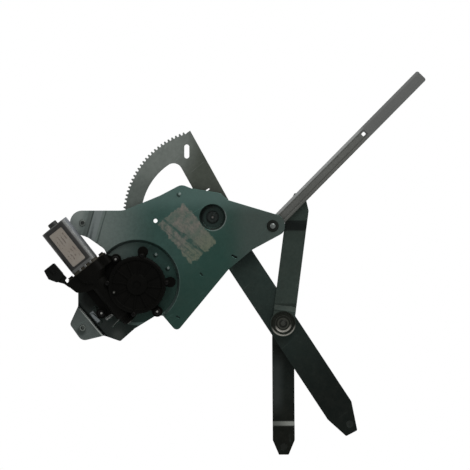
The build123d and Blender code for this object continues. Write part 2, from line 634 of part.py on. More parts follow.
with BuildPart() as aux_arm_lower:
    folded(CROSS, LOW_ANGLE, CUP_R, AUX_T,
           (-CUP_R, LOW_NEAR), (CUP_R, LOW_NEAR), (CUP_R + 12, LOW_MID), (AUX_LOW_REACH - 34, LOW_MID),
           (AUX_LOW_REACH - 27.3, LOW_TIP), (AUX_LOW_REACH + 2 * TIP_END, LOW_TIP))
    half_arm(CROSS, LOW_ANGLE, LOW_NEAR, AUX_LOW_REACH - TIP_TAPER, AUX_LOW_REACH + TIP_END, TIP_W)
    ring(CROSS, CROSS_NECK_R, 0, LOW_NEAR, LOW_TIP + AUX_T, mode=Mode.SUBTRACT)
    ring(LOW, RIVET_R, 0, LOW_NEAR, ROLLER_FRONT, mode=Mode.SUBTRACT)
finish(aux_arm_lower, "aux_arm_lower")

with BuildPart() as cross_pivot_rivet:
    back = LOW_NEAR + AUX_T
    turned(CROSS, (0, CUP_FLOOR - 1.3), (2.6, CUP_FLOOR - 1.1), (4.4, CUP_FLOOR - 0.6),
           (CROSS_HEAD_R, CUP_FLOOR), (CROSS_NECK_R, CUP_FLOOR), (CROSS_NECK_R, CUP_FLOOR + AUX_T),
           (CROSS_R, CUP_FLOOR + AUX_T), (CROSS_R, LOW_NEAR), (CROSS_NECK_R, LOW_NEAR),
           (CROSS_NECK_R, back), (CROSS_HEAD_R, back), (4.4, back + 1.0), (0, back + 1.4))
finish(cross_pivot_rivet, "cross_pivot_rivet")

with BuildPart() as cross_pivot_bush:
    ring(CROSS, CROSS_R + BUSH_WALL, CROSS_R + RUN_FIT, ARM_FRONT, ARM_BACK)
finish(cross_pivot_bush, "cross_pivot_bush")

with BuildPart() as aux_tip_rivet:
    back = AUX_FRONT + AUX_T
    turned(GUIDE, (0, AUX_FRONT), (RIVET_R, AUX_FRONT), (RIVET_R, back), (RIVET_HEAD_R, back),
           (RIVET_HEAD_R - 1.6, back + RIVET_HEAD_H), (0, back + RIVET_HEAD_H))
finish(aux_tip_rivet, "aux_tip_rivet")

with BuildPart() as low_stud:
    with BuildSketch(section(LOW)):
        with BuildLine():
            cap = ROLLER_BACK + SHEET_GAP
            Polyline((0, LOW_TIP), (RIVET_R, LOW_TIP), (RIVET_R, LOW_TIP + AUX_T),
                     (JOURNAL_R, LOW_TIP + AUX_T), (JOURNAL_R, cap), (JOURNAL_R + 1.5, cap),
                     (JOURNAL_R + 0.5, cap + 1.2), (0, cap + 1.2), close=True)
        make_face()
    revolve(axis=across(LOW))
finish(low_stud, "low_stud")

with BuildPart() as low_roller:
    roller(LOW)
finish(low_roller, "low_roller")


# ---------------------------------------------------------------- guide rail
INNER_W = RAIL_W - 2 * RAIL_T
LIP_W = 2.2                        # inturned lips that hold the shoe
FLANGE_START = 9.0
LIP_FRONT = RAIL_BACK - RAIL_T
SHOE_FRONT = FLUTE_BACK + SHEET_GAP
SHOE_BACK = LIP_FRONT - SLIDE_FIT
CLEAR_END = RAIL_L + 5

with BuildPart() as guide_rail:
    web_back = RAIL_FRONT + RAIL_T
    with BuildSketch(facing(RAIL_BACK, RAIL_PIVOT, RAIL_ANGLE)):
        outline((-RAIL_W / 2, RAIL_W / 2, RAIL_W / 2 - 0.1), (-RAIL_W / 2, -RAIL_W / 2, RAIL_W / 2 - 0.1),
                (RAIL_L, -RAIL_W / 2, 3), (RAIL_L, RAIL_W / 2, 3))
    extrude(amount=RAIL_DEPTH)
    # channel, the opening between its lips and the flat round end
    for x0, width, y0, y1 in ((0.0, INNER_W, web_back, LIP_FRONT),
                              (0.0, INNER_W - 2 * LIP_W, LIP_FRONT, RAIL_BACK),
                              (-RAIL_W, 2 * RAIL_W, web_back, RAIL_BACK)):
        x1 = FLANGE_START if x0 < 0 else CLEAR_END
        with BuildSketch(facing(y1, RAIL_PIVOT, RAIL_ANGLE)):
            with Locations(((x0 + x1) / 2, 0)):
                Rectangle(x1 - x0, width)
        extrude(amount=y1 - y0, mode=Mode.SUBTRACT)
    # rolled flute
    middle = (FLUTE_START + FLUTE_L) / 2
    with BuildSketch(facing(web_back, RAIL_PIVOT, RAIL_ANGLE)):
        with Locations((middle, 0)):
            RectangleRounded(FLUTE_L - FLUTE_START + 1, FLUTE_W + 1, 3)
    extrude(amount=-FLUTE_DEPTH)
    with BuildSketch(facing(RAIL_FRONT, RAIL_PIVOT, RAIL_ANGLE)):
        with Locations((middle, 0)):
            RectangleRounded(FLUTE_L - FLUTE_START, FLUTE_W, 2.5)
    extrude(amount=-FLUTE_DEPTH, taper=FLUTE_LEAN, mode=Mode.SUBTRACT)
    # pierced window at the flute's end, and the pivot hole
    with BuildSketch(facing(FLUTE_BACK, RAIL_PIVOT, RAIL_ANGLE)):
        with Locations((FLUTE_L - 4.5, 0)):
            RectangleRounded(4.8, 4.4, 1)
    extrude(amount=RAIL_T + FLUTE_DEPTH, mode=Mode.SUBTRACT)
    ring(RAIL_PIVOT, RAIL_RIVET_R, 0, RAIL_FRONT, web_back, mode=Mode.SUBTRACT)
finish(guide_rail, "guide_rail")

with BuildPart() as guide_shoe:
    with BuildSketch(facing(SHOE_BACK, GUIDE, RAIL_ANGLE)):
        RectangleRounded(SHOE_L, INNER_W - 2 * SLIDE_FIT, 4)
        Circle(GUIDE_PIN_R, mode=Mode.SUBTRACT)
    extrude(amount=SHOE_BACK - SHOE_FRONT)
    ring(GUIDE, GUIDE_PIN_R + 1.6, 0, SHOE_FRONT, SHOE_FRONT + 1.2, mode=Mode.SUBTRACT)
finish(guide_shoe, "guide_shoe")

with BuildPart() as guide_pin:
    turned(GUIDE, (0, SHOE_FRONT + 0.2), (GUIDE_PIN_R + 1.6, SHOE_FRONT + 0.2),
           (GUIDE_PIN_R + 1.6, SHOE_FRONT + 1.2), (GUIDE_PIN_R, SHOE_FRONT + 1.2),
           (GUIDE_PIN_R, AUX_FRONT - 0.2), (0, AUX_FRONT - 0.2))
finish(guide_pin, "guide_pin")


# ---------------------------------------------------------------- gear housing
COLLAR_X = -CAN_START + COLLAR_T           # where the housing's end bell begins
BELL_L = 14.0
LUGS = [on_motor(-29.9, 33.2), on_motor(24.6, 36.7)]
FLANGE_T = 6.0
FLANGE_EDGE = -59.2                        # its long edge, beside the worm tube
BOSS_FRONT = POT_BACK - FLANGE_T - 2
SEAT = PAN_DEPTH                           # front of the pan's floor
OUT_BOSS_R = PAN_HOLE_R + 3.0
OUT_BUSH_R = 7.5
OUT_SHAFT_R = 5.0
BORE_R = TUBE_R - WALL                     # bore of the worm tube
SIDE_FACE = -71.5                          # the side block's flat face, where the connector sits
COVER_BOSS_R = 9.0
NOSE_R = 3.9                               # front journal of the output shaft
PLUG_END = 9.0                             # length of the tapped end of the worm tube
PLUG_R = 4.0
BEARING_L = 6.0
NOSE_START = TUBE_END - PLUG_END - BEARING_L
EAR_AT = 25.5                              # motor shaft to the screws that hold the can
EAR_R = 5.5
CAN_SCREW_R = 2.0
COVER_SCREW_R = 1.5
COVER_SCREWS = [at(MOTOR, COVER_R + 1.0, WORM_ANGLE + a) for a in (56, 132, 228, 315)]
PILLAR_R = 3.8
COVER_PLUG = (-11.1, -29.8)

with BuildPart() as gear_housing:
    # gear pot and worm tube
    ring(MOTOR, COVER_R, 0, COVER_SEAT, POT_BACK)
    rod(COLLAR_X + BELL_L, TUBE_STEP, TUBE_R)
    with BuildSketch(on_shaft(TUBE_STEP)):
        Circle(TUBE_R)
    with BuildSketch(on_shaft(TUBE_STEP + 3.5)):
        Circle(TUBE_NOSE_R)
    with BuildSketch(on_shaft(TUBE_END)):
        Circle(TUBE_NOSE_R - 1.2)
    loft(ruled=True)
    # end bell that carries the can
    with BuildSketch(on_shaft(COLLAR_X)):
        RectangleRounded(CAN_W, CAN_T, CAN_CORNER)
        SlotOverall(2 * (EAR_AT + EAR_R), 2 * EAR_R)
    extrude(amount=BELL_L)
    with BuildSketch(on_shaft(COLLAR_X + BELL_L)):
        RectangleRounded(CAN_W, CAN_T, CAN_CORNER)
    with BuildSketch(on_shaft(COLLAR_X + BELL_L + 9)):
        Circle(TUBE_R)
    loft()
    # side block with the brush leads
    with BuildSketch(facing(POT_BACK - 2, MOTOR, WORM_ANGLE)):
        outline((COLLAR_X, -60.0), (COLLAR_X, SIDE_FACE, 1), (-51.0, SIDE_FACE, 6), (-41.0, -69.0, 6),
                (-35.0, FLANGE_EDGE, 3), (-30.0, -45.0), (COLLAR_X, -45.0))
    extrude(amount=18)
    # flange
    with BuildSketch(facing(POT_BACK, MOTOR, WORM_ANGLE)):
        outline((COLLAR_X, -12.0, 4), (COLLAR_X, FLANGE_EDGE, 4), (7.0, FLANGE_EDGE, 4), (9.5, -50.0, 3),
                (17.0, -49.0, 3), (22.0, -45.0, 3), (TUBE_END - 2, -43.5, 3), (TUBE_END - 2, -29.0, 6),
                (30.0, -24.0), (0, 0), (-30.0, 6.0), (-53.0, -4.0, 6))
    extrude(amount=FLANGE_T)
    # screw bosses and locating lugs, each with its rib
    for place in MOUNTS:
        ring(place, LUG_R, 0, BOSS_FRONT, SEAT)
    for place in LUGS:
        ring(place, LUG_R, 0, POT_BACK - FLANGE_T, POT_BACK + 2)
    for place in (*MOUNTS[:2], *LUGS):
        direction = degrees(atan2(place[1] - MOTOR[1], place[0] - MOTOR[0]))
        with BuildSketch(facing(POT_BACK, MOTOR, direction)):
            with Locations(((COVER_R + MOUNT_R) / 2 - 2, 0)):
                Rectangle(MOUNT_R - COVER_R + 6, 1.6 * LUG_R)
        extrude(amount=FLANGE_T)
    # output boss, spigoted into the pan, and the cover's screw pillars
    ring(MOTOR, OUT_BOSS_R, 0, POT_BACK - WALL, SEAT)
    ring(MOTOR, PAN_HOLE_R - 0.3, 0, SEAT, SEAT + PLATE_T - 0.4)
    for place in COVER_SCREWS:
        ring(place, PILLAR_R, 0, COVER_SEAT, POT_BACK)
    # hollows: gear pot, worm tube, end bell, bearing, screw holes
    ring(MOTOR, COVER_R - WALL, 0, COVER_SEAT, POT_BACK - WALL, mode=Mode.SUBTRACT)
    rod(COLLAR_X, NOSE_START, BORE_R, mode=Mode.SUBTRACT)
    rod(NOSE_START, TUBE_END - PLUG_END, NOSE_BORE_R, mode=Mode.SUBTRACT)
    with BuildSketch(on_shaft(COLLAR_X)):
        RectangleRounded(CAN_W - 2 * WALL, CAN_T - 2 * WALL, CAN_CORNER - WALL)
    extrude(amount=BELL_L - WALL, mode=Mode.SUBTRACT)
    rod(TUBE_END - PLUG_END, TUBE_END, PLUG_R, mode=Mode.SUBTRACT)
    ring(MOTOR, OUT_BUSH_R, 0, POT_BACK - WALL, SEAT + PLATE_T, mode=Mode.SUBTRACT)
    for place in MOUNTS:
        ring(place, SCREW_R, 0, BOSS_FRONT, SEAT, mode=Mode.SUBTRACT)
    for place in COVER_SCREWS:
        ring(place, COVER_SCREW_R, 0, COVER_SEAT, COVER_SEAT + 9, mode=Mode.SUBTRACT)
    for side in (-1, 1):
        rod(COLLAR_X, COLLAR_X + 10, CAN_SCREW_R, lateral=side * EAR_AT, mode=Mode.SUBTRACT)
finish(gear_housing, "gear_housing")

with BuildPart() as gear_cover:
    front = COVER_SEAT - COVER_H
    turned(MOTOR, (0, COVER_SEAT), (COVER_R, COVER_SEAT), (COVER_R, front + 2.2), (COVER_R - 1.6, front + 0.8),
           (COVER_R - 5, front + 0.8), (COVER_R - 6, front + 2.0), (14.5, front + 2.0), (13.0, front),
           (0, front))
    for n in range(12):
        with BuildSketch(facing(front + 3, MOTOR, WORM_ANGLE + 15 + 30 * n)):
            with Locations((22.5, 0)):
                Rectangle(20, 1.8)
        extrude(amount=2.2)
    for place in COVER_SCREWS:
        ring(place, PILLAR_R, 0, front + 2.2, COVER_SEAT)
        ring(place, PILLAR_R - 0.6, 0, front - 1, front + 2.2, mode=Mode.SUBTRACT)
        ring(place, COVER_SCREW_R + 0.2, 0, front, COVER_SEAT, mode=Mode.SUBTRACT)
    ring(MOTOR, 5.5, 0, front, front + 1.2, mode=Mode.SUBTRACT)
    # boss that carries the front end of the output shaft
    ring(MOTOR, COVER_BOSS_R, 0, COVER_SEAT, WHEEL_FRONT - 1.2)
    ring(MOTOR, NOSE_R + RUN_FIT, 0, COVER_SEAT, WHEEL_FRONT, mode=Mode.SUBTRACT)
    ring(on_motor(*COVER_PLUG), 2.2, 0, front, COVER_SEAT - 1.5, mode=Mode.SUBTRACT)
finish(gear_cover, "gear_cover")

with BuildPart() as cover_plug:
    turned(on_motor(*COVER_PLUG), (0, COVER_SEAT - 1.5), (2.2, COVER_SEAT - 1.5),
           (2.2, COVER_SEAT - COVER_H - 0.2), (1.2, COVER_SEAT - COVER_H - 1.1),
           (0, COVER_SEAT - COVER_H - 1.3))
finish(cover_plug, "cover_plug")


def screw(place, head_front, head_r, head_h, shank_r, end):
    """A pan-headed screw with a hexagon socket, its head towards the viewer."""
    seat = head_front + head_h
    turned(place, (0, head_front), (head_r - 0.8, head_front), (head_r, head_front + 0.8), (head_r, seat),
           (shank_r, seat), (shank_r, end - 0.6), (shank_r - 0.6, end), (0, end))
    with BuildSketch(facing(head_front + 0.6 * head_h, place)) as socket:
        RegularPolygon(0.5 * head_r, 6)
    extrude(socket.sketch, amount=head_h, mode=Mode.SUBTRACT)


with BuildPart() as cover_screws:
    for place in COVER_SCREWS:
        screw(place, COVER_SEAT - COVER_H + 0.4, 2.9, 1.8, COVER_SCREW_R, COVER_SEAT + 8)
finish(cover_screws, "cover_screws")

with BuildPart() as mounting_screws:
    for place in MOUNTS:
        screw(place, BOSS_FRONT - 3.4, SCREW_HEAD_R, 3.4, SCREW_R, SEAT + PLATE_T + 1.6)
finish(mounting_screws, "mounting_screws")


# ---------------------------------------------------------------- drive in the gear pot
TEETH_FRONT = SECTOR_FRONT - 0.7
TEETH_BACK = ARM_FRONT + 0.7
DAMPER_R0, DAMPER_R1 = 13.0, 24.0

with BuildPart() as output_bush:
    ring(MOTOR, OUT_BUSH_R, OUT_SHAFT_R + RUN_FIT, POT_BACK - WALL, SEAT + PLATE_T - 0.4)
finish(output_bush, "output_bush")

with BuildPart() as worm_wheel:
    with BuildSketch(facing(WHEEL_BACK, MOTOR, WORM_ANGLE)):
        full_gear(WHEEL_TEETH, WHEEL_MODULE, 0, curved=False)
        Circle(OUT_SHAFT_R, mode=Mode.SUBTRACT)
    extrude(amount=WHEEL_W)
    ring(MOTOR, DAMPER_R1 + 4, DAMPER_R0 - 3, WHEEL_FRONT, WHEEL_FRONT + 2.5, mode=Mode.SUBTRACT)
    ring(MOTOR, DAMPER_R1, DAMPER_R0, WHEEL_BACK - 4, WHEEL_BACK, mode=Mode.SUBTRACT)
    for n in range(3):
        with BuildSketch(facing(WHEEL_BACK, MOTOR, 120 * n)):
            with Locations(((DAMPER_R0 + DAMPER_R1) / 2, 0)):
                Rectangle(DAMPER_R1 - DAMPER_R0 + 1, 4)
        extrude(amount=4)
finish(worm_wheel, "worm_wheel")

with BuildPart() as wheel_damper:
    ring(MOTOR, DAMPER_R1 - 0.2, DAMPER_R0 + 0.2, WHEEL_BACK - 4, WHEEL_BACK - 0.4)
    for n in range(3):
        with BuildSketch(facing(WHEEL_BACK, MOTOR, 120 * n)):
            with Locations(((DAMPER_R0 + DAMPER_R1) / 2, 0)):
                Rectangle(DAMPER_R1 - DAMPER_R0 + 4, 4.4)
        extrude(amount=5, mode=Mode.SUBTRACT)
finish(wheel_damper, "wheel_damper")

with BuildPart() as output_pinion:
    turned(MOTOR, (0, COVER_SEAT + 0.6), (NOSE_R - 0.6, COVER_SEAT + 0.6), (NOSE_R, COVER_SEAT + 1.2),
           (NOSE_R, WHEEL_FRONT), (OUT_SHAFT_R, WHEEL_FRONT), (OUT_SHAFT_R, SEAT + PLATE_T),
           (12.0, SEAT + PLATE_T), (12.0, TEETH_FRONT), (0, TEETH_FRONT))
    with BuildSketch(facing(TEETH_BACK, MOTOR)):
        full_gear(PINION_TEETH, MODULE, MESH_ANGLE - 180 + 180 / PINION_TEETH)
    extrude(amount=TEETH_BACK - TEETH_FRONT)
    ring(MOTOR, 9.0, 0, TEETH_BACK, TEETH_BACK + 1.0)
finish(output_pinion, "output_pinion")

with BuildPart() as output_clip:
    with BuildSketch(facing(WHEEL_FRONT, MOTOR, 45)):
        Circle(OUT_SHAFT_R + 2.0)
        Circle(NOSE_R, mode=Mode.SUBTRACT)
        with Locations((OUT_SHAFT_R, 0)):
            Rectangle(6, 3.5, mode=Mode.SUBTRACT)
    extrude(amount=0.6)
finish(output_clip, "output_clip")


# ---------------------------------------------------------------- motor
CAN_END = -CAN_START - CAN_L
MAGNET_R0, MAGNET_R1 = 12.0, 18.0
COMM_R = 7.0
STACK_X = CAN_END + 17.0

with BuildPart() as motor_can:
    with BuildSketch(on_shaft(CAN_END)):
        RectangleRounded(CAN_W, CAN_T, CAN_CORNER)
    extrude(amount=CAN_L)
    rod(CAN_END - END_BOSS_L, CAN_END, END_BOSS_R)
    fillet(edges().filter_by(GeomType.CIRCLE).group_by(Axis((0, 0, 0), on_shaft(0).z_dir.to_tuple()))[0], 1.5)
    with BuildSketch(on_shaft(CAN_END + CAN_WALL)):
        RectangleRounded(CAN_W - 2 * CAN_WALL, CAN_T - 2 * CAN_WALL, CAN_CORNER - CAN_WALL)
    extrude(amount=CAN_L, mode=Mode.SUBTRACT)
    rod(CAN_END - END_BOSS_L + CAN_WALL, CAN_END + CAN_WALL, END_BOSS_R - CAN_WALL, mode=Mode.SUBTRACT)
finish(motor_can, "motor_can")

with BuildPart() as can_bearing:
    rod(CAN_END - END_BOSS_L + CAN_WALL + 0.5, CAN_END, END_BOSS_R - CAN_WALL, SHAFT_R + RUN_FIT)
finish(can_bearing, "can_bearing")

with BuildPart() as magnets:
    for side in (-1, 1):
        with BuildSketch(on_shaft(STACK_X - 4)):
            Circle(MAGNET_R1)
            Circle(MAGNET_R0, mode=Mode.SUBTRACT)
            with Locations((side * MAGNET_R1, 0)):
                Rectangle(2 * MAGNET_R1 - 6, 17, mode=Mode.INTERSECT)
        extrude(amount=STACK_L + 8)
finish(magnets, "magnets")

with BuildPart() as brush_holder:
    with BuildSketch(on_shaft(-CAN_START)):
        RectangleRounded(CAN_W - 1, CAN_T - 1, CAN_CORNER - 0.5)
    extrude(amount=COLLAR_T)
    with BuildSketch(on_shaft(COLLAR_X - 1.5)):
        SlotOverall(2 * (EAR_AT + EAR_R) - 1, 2 * EAR_R - 1)
    extrude(amount=1.5)
    rod(-CAN_START, COLLAR_X, COMM_R + 1, mode=Mode.SUBTRACT)
    with BuildSketch(on_shaft(-CAN_START + 0.8)):
        Rectangle(2 * (COMM_R + 9), 4.6)
    extrude(amount=COLLAR_T - 1.6, mode=Mode.SUBTRACT)
    for side in (-1, 1):
        rod(COLLAR_X - 1.5, COLLAR_X, CAN_SCREW_R, lateral=side * EAR_AT, mode=Mode.SUBTRACT)
finish(brush_holder, "brush_holder")

with BuildPart() as can_screws:
    for side in (-1, 1):
        rod(COLLAR_X - 1.5 - 2.4, COLLAR_X - 1.5, 3.4, lateral=side * EAR_AT)
        rod(COLLAR_X - 1.5, COLLAR_X + 9, CAN_SCREW_R, lateral=side * EAR_AT)
        with BuildSketch(on_shaft(COLLAR_X - 1.5 - 2.4)):
            with Locations((side * EAR_AT, 0)):
                Rectangle(4.6, 0.9)
                Rectangle(0.9, 4.6)
        extrude(amount=1.2, mode=Mode.SUBTRACT)
finish(can_screws, "can_screws")

with BuildPart() as brushes:
    for side in (-1, 1):
        with BuildSketch(on_shaft(-CAN_START + 0.9)):
            with Locations((side * (COMM_R + 4.6), 0)):
                Rectangle(8, 4.4)
            Circle(COMM_R + RUN_FIT, mode=Mode.SUBTRACT)
        extrude(amount=COLLAR_T - 1.8)
finish(brushes, "brushes")

with BuildPart() as armature_shaft:
    rod(CAN_END - END_BOSS_L + CAN_WALL + 1, TUBE_END - PLUG_END - 0.3, SHAFT_R)
    rod(-WORM_L / 2, WORM_L / 2, WORM_R)
    rod(WORM_L / 2, WORM_L / 2 + 1.5, WORM_R - 1)
    rod(-WORM_L / 2 - 1.5, -WORM_L / 2, WORM_R - 1)
finish(armature_shaft, "armature_shaft")

with BuildPart() as armature_stack:
    with BuildSketch(on_shaft(STACK_X)):
        Circle(STACK_R)
        Circle(SHAFT_R, mode=Mode.SUBTRACT)
        with PolarLocations(STACK_R - 1.5, 8):
            Rectangle(6.0, 1.6, mode=Mode.SUBTRACT)
    extrude(amount=STACK_L)
finish(armature_stack, "armature_stack")

with BuildPart() as armature_windings:
    for x0, x1 in ((STACK_X - 6, STACK_X), (STACK_X + STACK_L, STACK_X + STACK_L + 7)):
        rod(x0, x1, STACK_R - 1.2, SHAFT_R)
finish(armature_windings, "armature_windings")

with BuildPart() as commutator:
    with BuildSketch(on_shaft(-CAN_START - 3)):
        Circle(COMM_R)
        Circle(SHAFT_R, mode=Mode.SUBTRACT)
        with PolarLocations(COMM_R, 8):
            Rectangle(1.6, 0.5, mode=Mode.SUBTRACT)
    extrude(amount=COLLAR_T + 5)
finish(commutator, "commutator")

with BuildPart() as worm_bearings:
    for x0, radius in ((COLLAR_X + BELL_L, BORE_R), (NOSE_START, NOSE_BORE_R)):
        rod(x0, x0 + BEARING_L, radius, SHAFT_R + RUN_FIT)
finish(worm_bearings, "worm_bearings")

with BuildPart() as thrust_screw:
    rod(TUBE_END - PLUG_END, TUBE_END + 1, PLUG_R)
    with BuildSketch(on_shaft(TUBE_END - 1)):
        Rectangle(5, 1)
    extrude(amount=2, mode=Mode.SUBTRACT)
finish(thrust_screw, "thrust_screw")

with BuildPart() as connector_shell:
    depth = WORM_DEPTH + PLUG_H / 2
    with BuildSketch(facing(depth, MOTOR, WORM_ANGLE)):
        outline((-91.6, -85.1, 2), (-91.6, -68.3, 2), (-73.2, -67.5, 2), (-69.8, -70.6), (-68.3, -81.1, 2),
                (-78.8, -87.4, 3))
    extrude(amount=PLUG_H)
    with BuildSketch(facing(depth - 3, MOTOR, WORM_ANGLE)):
        outline((-74.8, SIDE_FACE + 3.4), (-65.4, SIDE_FACE + 4.2, 1), (-64.2, SIDE_FACE + 0.4),
                (-64.2, SIDE_FACE), (-52.8, SIDE_FACE), (-52.8, SIDE_FACE - 1.0),
                (-61.3, SIDE_FACE - 3.5, 3), (-68.8, SIDE_FACE - 9.0), (-74.8, SIDE_FACE - 9.0))
    extrude(amount=PLUG_H - 6)
    # socket for the loom's plug, with its keying rib
    with BuildSketch(facing(depth - 2, MOTOR, WORM_ANGLE)):
        with Locations((-86.8, -76.8)):
            Rectangle(16, 12)
    extrude(amount=PLUG_H - 4, mode=Mode.SUBTRACT)
    with BuildSketch(facing(depth - PLUG_H, MOTOR, WORM_ANGLE)):
        with Locations((-84.8, -76.1)):
            Rectangle(9, 3.5)
    extrude(amount=1.0)
finish(connector_shell, "connector_shell")

with BuildPart() as connector_terminals:
    for place in (-79.8, -76.8, -73.8):
        with BuildSketch(facing(WORM_DEPTH + 0.4, MOTOR, WORM_ANGLE)):
            with Locations((-83.8, place)):
                Rectangle(10, 1.6)
        extrude(amount=0.8)
finish(connector_terminals, "connector_terminals")
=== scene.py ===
"""Looks for the window regulator: finishes for its sheet metal, gear motor and pivots, and small trim."""

import json
import math

import bmesh
import bpy
from mathutils import Matrix, Vector


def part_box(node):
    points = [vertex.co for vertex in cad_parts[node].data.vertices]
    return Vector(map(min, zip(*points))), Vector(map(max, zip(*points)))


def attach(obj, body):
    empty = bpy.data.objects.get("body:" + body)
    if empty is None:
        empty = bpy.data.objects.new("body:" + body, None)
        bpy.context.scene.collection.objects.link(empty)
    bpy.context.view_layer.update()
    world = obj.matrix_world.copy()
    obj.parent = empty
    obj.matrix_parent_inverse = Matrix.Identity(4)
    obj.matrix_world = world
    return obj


bl_info = {
    "name": "Window Regulator Dressing",
    "version": (1, 0, 0),
    "blender": (4, 5, 0),
    "location": "View3D > Sidebar > Regulator",
    "description": "Finishes and small trim for a cross-arm window regulator with its gear motor",
    "category": "Object",
}

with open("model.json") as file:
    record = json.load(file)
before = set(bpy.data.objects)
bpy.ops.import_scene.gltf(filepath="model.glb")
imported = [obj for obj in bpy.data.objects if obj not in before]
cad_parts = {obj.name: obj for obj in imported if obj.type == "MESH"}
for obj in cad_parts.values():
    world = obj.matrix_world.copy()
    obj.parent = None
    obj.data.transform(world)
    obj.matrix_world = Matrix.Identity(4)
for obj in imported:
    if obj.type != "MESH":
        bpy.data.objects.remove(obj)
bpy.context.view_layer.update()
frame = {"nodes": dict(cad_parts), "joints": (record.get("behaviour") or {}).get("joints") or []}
NODES = frame["nodes"]

MM = 0.001
JOINTS = {joint["name"]: joint for joint in frame["joints"]}


def srgb(red, green, blue):
    """A colour given from 0 to 255, as the linear values that shaders use."""
    shares = [v / 255 for v in (red, green, blue)]
    return tuple(s / 12.92 if s <= 0.04045 else ((s + 0.055) / 1.055) ** 2.4 for s in shares)


def pivot(joint):
    """Where a joint's axis meets the plate, as (x, z) in millimetres."""
    place = JOINTS[joint]["pos_m"]
    return (place[0] / MM, place[2] / MM)


def middle(node):
    """The middle of a CAD node, as (x, z) in millimetres."""
    low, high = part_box(node)
    return ((low[0] + high[0]) / 2 / MM, (low[2] + high[2]) / 2 / MM)


# ---------------------------------------------------------------- places on the regulator
# Places and directions on the plate are (x, z). Lengths are in millimetres.
ORIGIN, RIGHT, UP = (0, 0), (1, 0), (0, 1)
HUB, MOTOR, SHAFT = pivot("lift"), pivot("output_turn"), pivot("motor_turn")
WORM_AXIS = (JOINTS["motor_turn"]["axis"][0], JOINTS["motor_turn"]["axis"][2])
WORM_ANGLE = math.atan2(WORM_AXIS[1], WORM_AXIS[0])       # direction of the motor shaft, from +X
ALONG = (math.cos(WORM_ANGLE), math.sin(WORM_ANGLE))      # along the shaft, and square to it
ACROSS = (-ALONG[1], ALONG[0])
WORM_Y = JOINTS["motor_turn"]["pos_m"][1] / MM            # the shaft's depth
WORM_OFFSET = (SHAFT[1] - MOTOR[1]) * WORM_AXIS[0] - (SHAFT[0] - MOTOR[0]) * WORM_AXIS[1]

# base plate and its marks
UPPER_FOLD, UPPER_FACING = (-82.5, 13.1), (-0.963, 0.271)       # bend of the upper ear, and its way out
LOWER_FOLD, LOWER_FACING = (-101.5, -116.0), (0.770, 0.637)     # bend of the lower ear, and its way in
LOWER_FOLD_END = (-70.3, -153.9)
PAN = (-24.7, -82.1)
PIPS = ((0.2, -45.3), (16.5, -63.3), (31.9, 35.5))
STAMPED = (((27.8, -126.8), (32.2, -130.0)), ((59.4, -69.4), (63.0, -73.4)))
RESIDUE, RESIDUE_RUN = (42.8, -16.8), (0.64, -0.768)            # middle of the torn paper, and its run
RESIDUE_HALF = (34.4, 22.4)                                     # half its length and its width

# crossing arm, between two heights on the plate
CROSS_JOGGLE, CROSS_STEP = (-13.2, 0.6), (-120.8, -110.6)       # upper half
CROSS_PALE, CROSS_BEND = (-252.0, -188.0), (-274.4, -268.6)     # lower half

# guide rail: lines of painted light and shade between two places across it, their softness and shade
RAIL_LINES = ((2.8, 4.4, 0.5, srgb(58, 59, 56)), (5.0, 6.0, 0.4, srgb(78, 79, 76)))

# gear motor, in its own frame about the output shaft
FIXINGS = ((44.5, -1.4), (-44.5, -1.4), (0.0, -60.8))           # fixing screws
COVER_Y = -29.0                                                 # front of the gear cover
POT_R = 38.0
CAN_OPEN, CAN_DEPTH = -63.7, 30.0                               # open end along the shaft
CAN_BLACK, CAN_EDGE, CAN_END = (-128.2, -67.6), (-24.6, -25.8), (-129.4, -130.2)   # where it is black
LABEL_AT, LABEL_CORNER, LABEL_GAP = (-96.6, -40.8), 1.8, 0.02   # the can's plate
LABEL_RULING, LABEL_FIELDS = 4.3, ((-19.0, -2.0), (3.0, 19.0))  # its lines, and the fields they fill

# trim: each bar is (length, width, height)
TICK_R, TICK_Y, TICK = 33.9, COVER_Y + 0.7, (2.4, 0.9, 0.7)
POT_RIB_Y, POT_RIB_RUN = -16.0, 15.0
RING_START, RING_PITCH, RING_R, RING_SIDES = 22.6, 2.9, 8.5, 40
GRIP_AT, GRIP_Y, GRIP_PITCH, GRIP = (-83.8, -76.8), 7.0, 2.2, (8.0, 0.9, 0.8)
TAB_BACK, TAB_SUNK, TAB_PITCH, TAB = 1.4, 0.25, 8.5, (3.6, 3.2, 0.9)
THREAD_Y, THREAD_TURNS, THREAD_R, THREAD_RIDGE = 10.3, 1.6, 2.5, 0.22

# stage, in metres and watts
FLOOR = ((-3.2, -3.6, -0.42), (3.4, -3.6, -0.42), (3.4, 1.05, -0.42), (-3.2, 1.05, -0.42))
WORLD_LIGHT = 0.30
LAMPS = (("key", (0.9, -1.5, 2.3), 1.2, 70.0), ("side", (1.9, -0.7, 1.6), 0.9, 16.0),
         ("fill", (-2.2, -1.8, 0.5), 1.6, 12.0), ("back", (-0.9, 2.3, 1.5), 1.6, 60.0))
LAMPS_AIM = Vector((0.1, 0.0, -0.05))
EYE, EYE_SENSOR, EYE_SPAN = (0.106, -4.0, -0.0189), 36.0, 0.62665


def lighter(colour, times):
    return tuple(min(1.0, c * times) for c in colour[:3])


def facing(place, y, angle=0.0):
    """Puts a piece built about the origin on the front side: its z points at the viewer."""
    c, s = math.cos(angle), math.sin(angle)
    return Matrix(((c, -s, 0, place[0] * MM), (0, 0, -1, y * MM), (s, c, 0, place[1] * MM), (0, 0, 0, 1)))


def on_motor(x, y):
    """A place in the motor's frame, about the output shaft."""
    c, s = ALONG
    return (MOTOR[0] + x * c - y * s, MOTOR[1] + x * s + y * c)


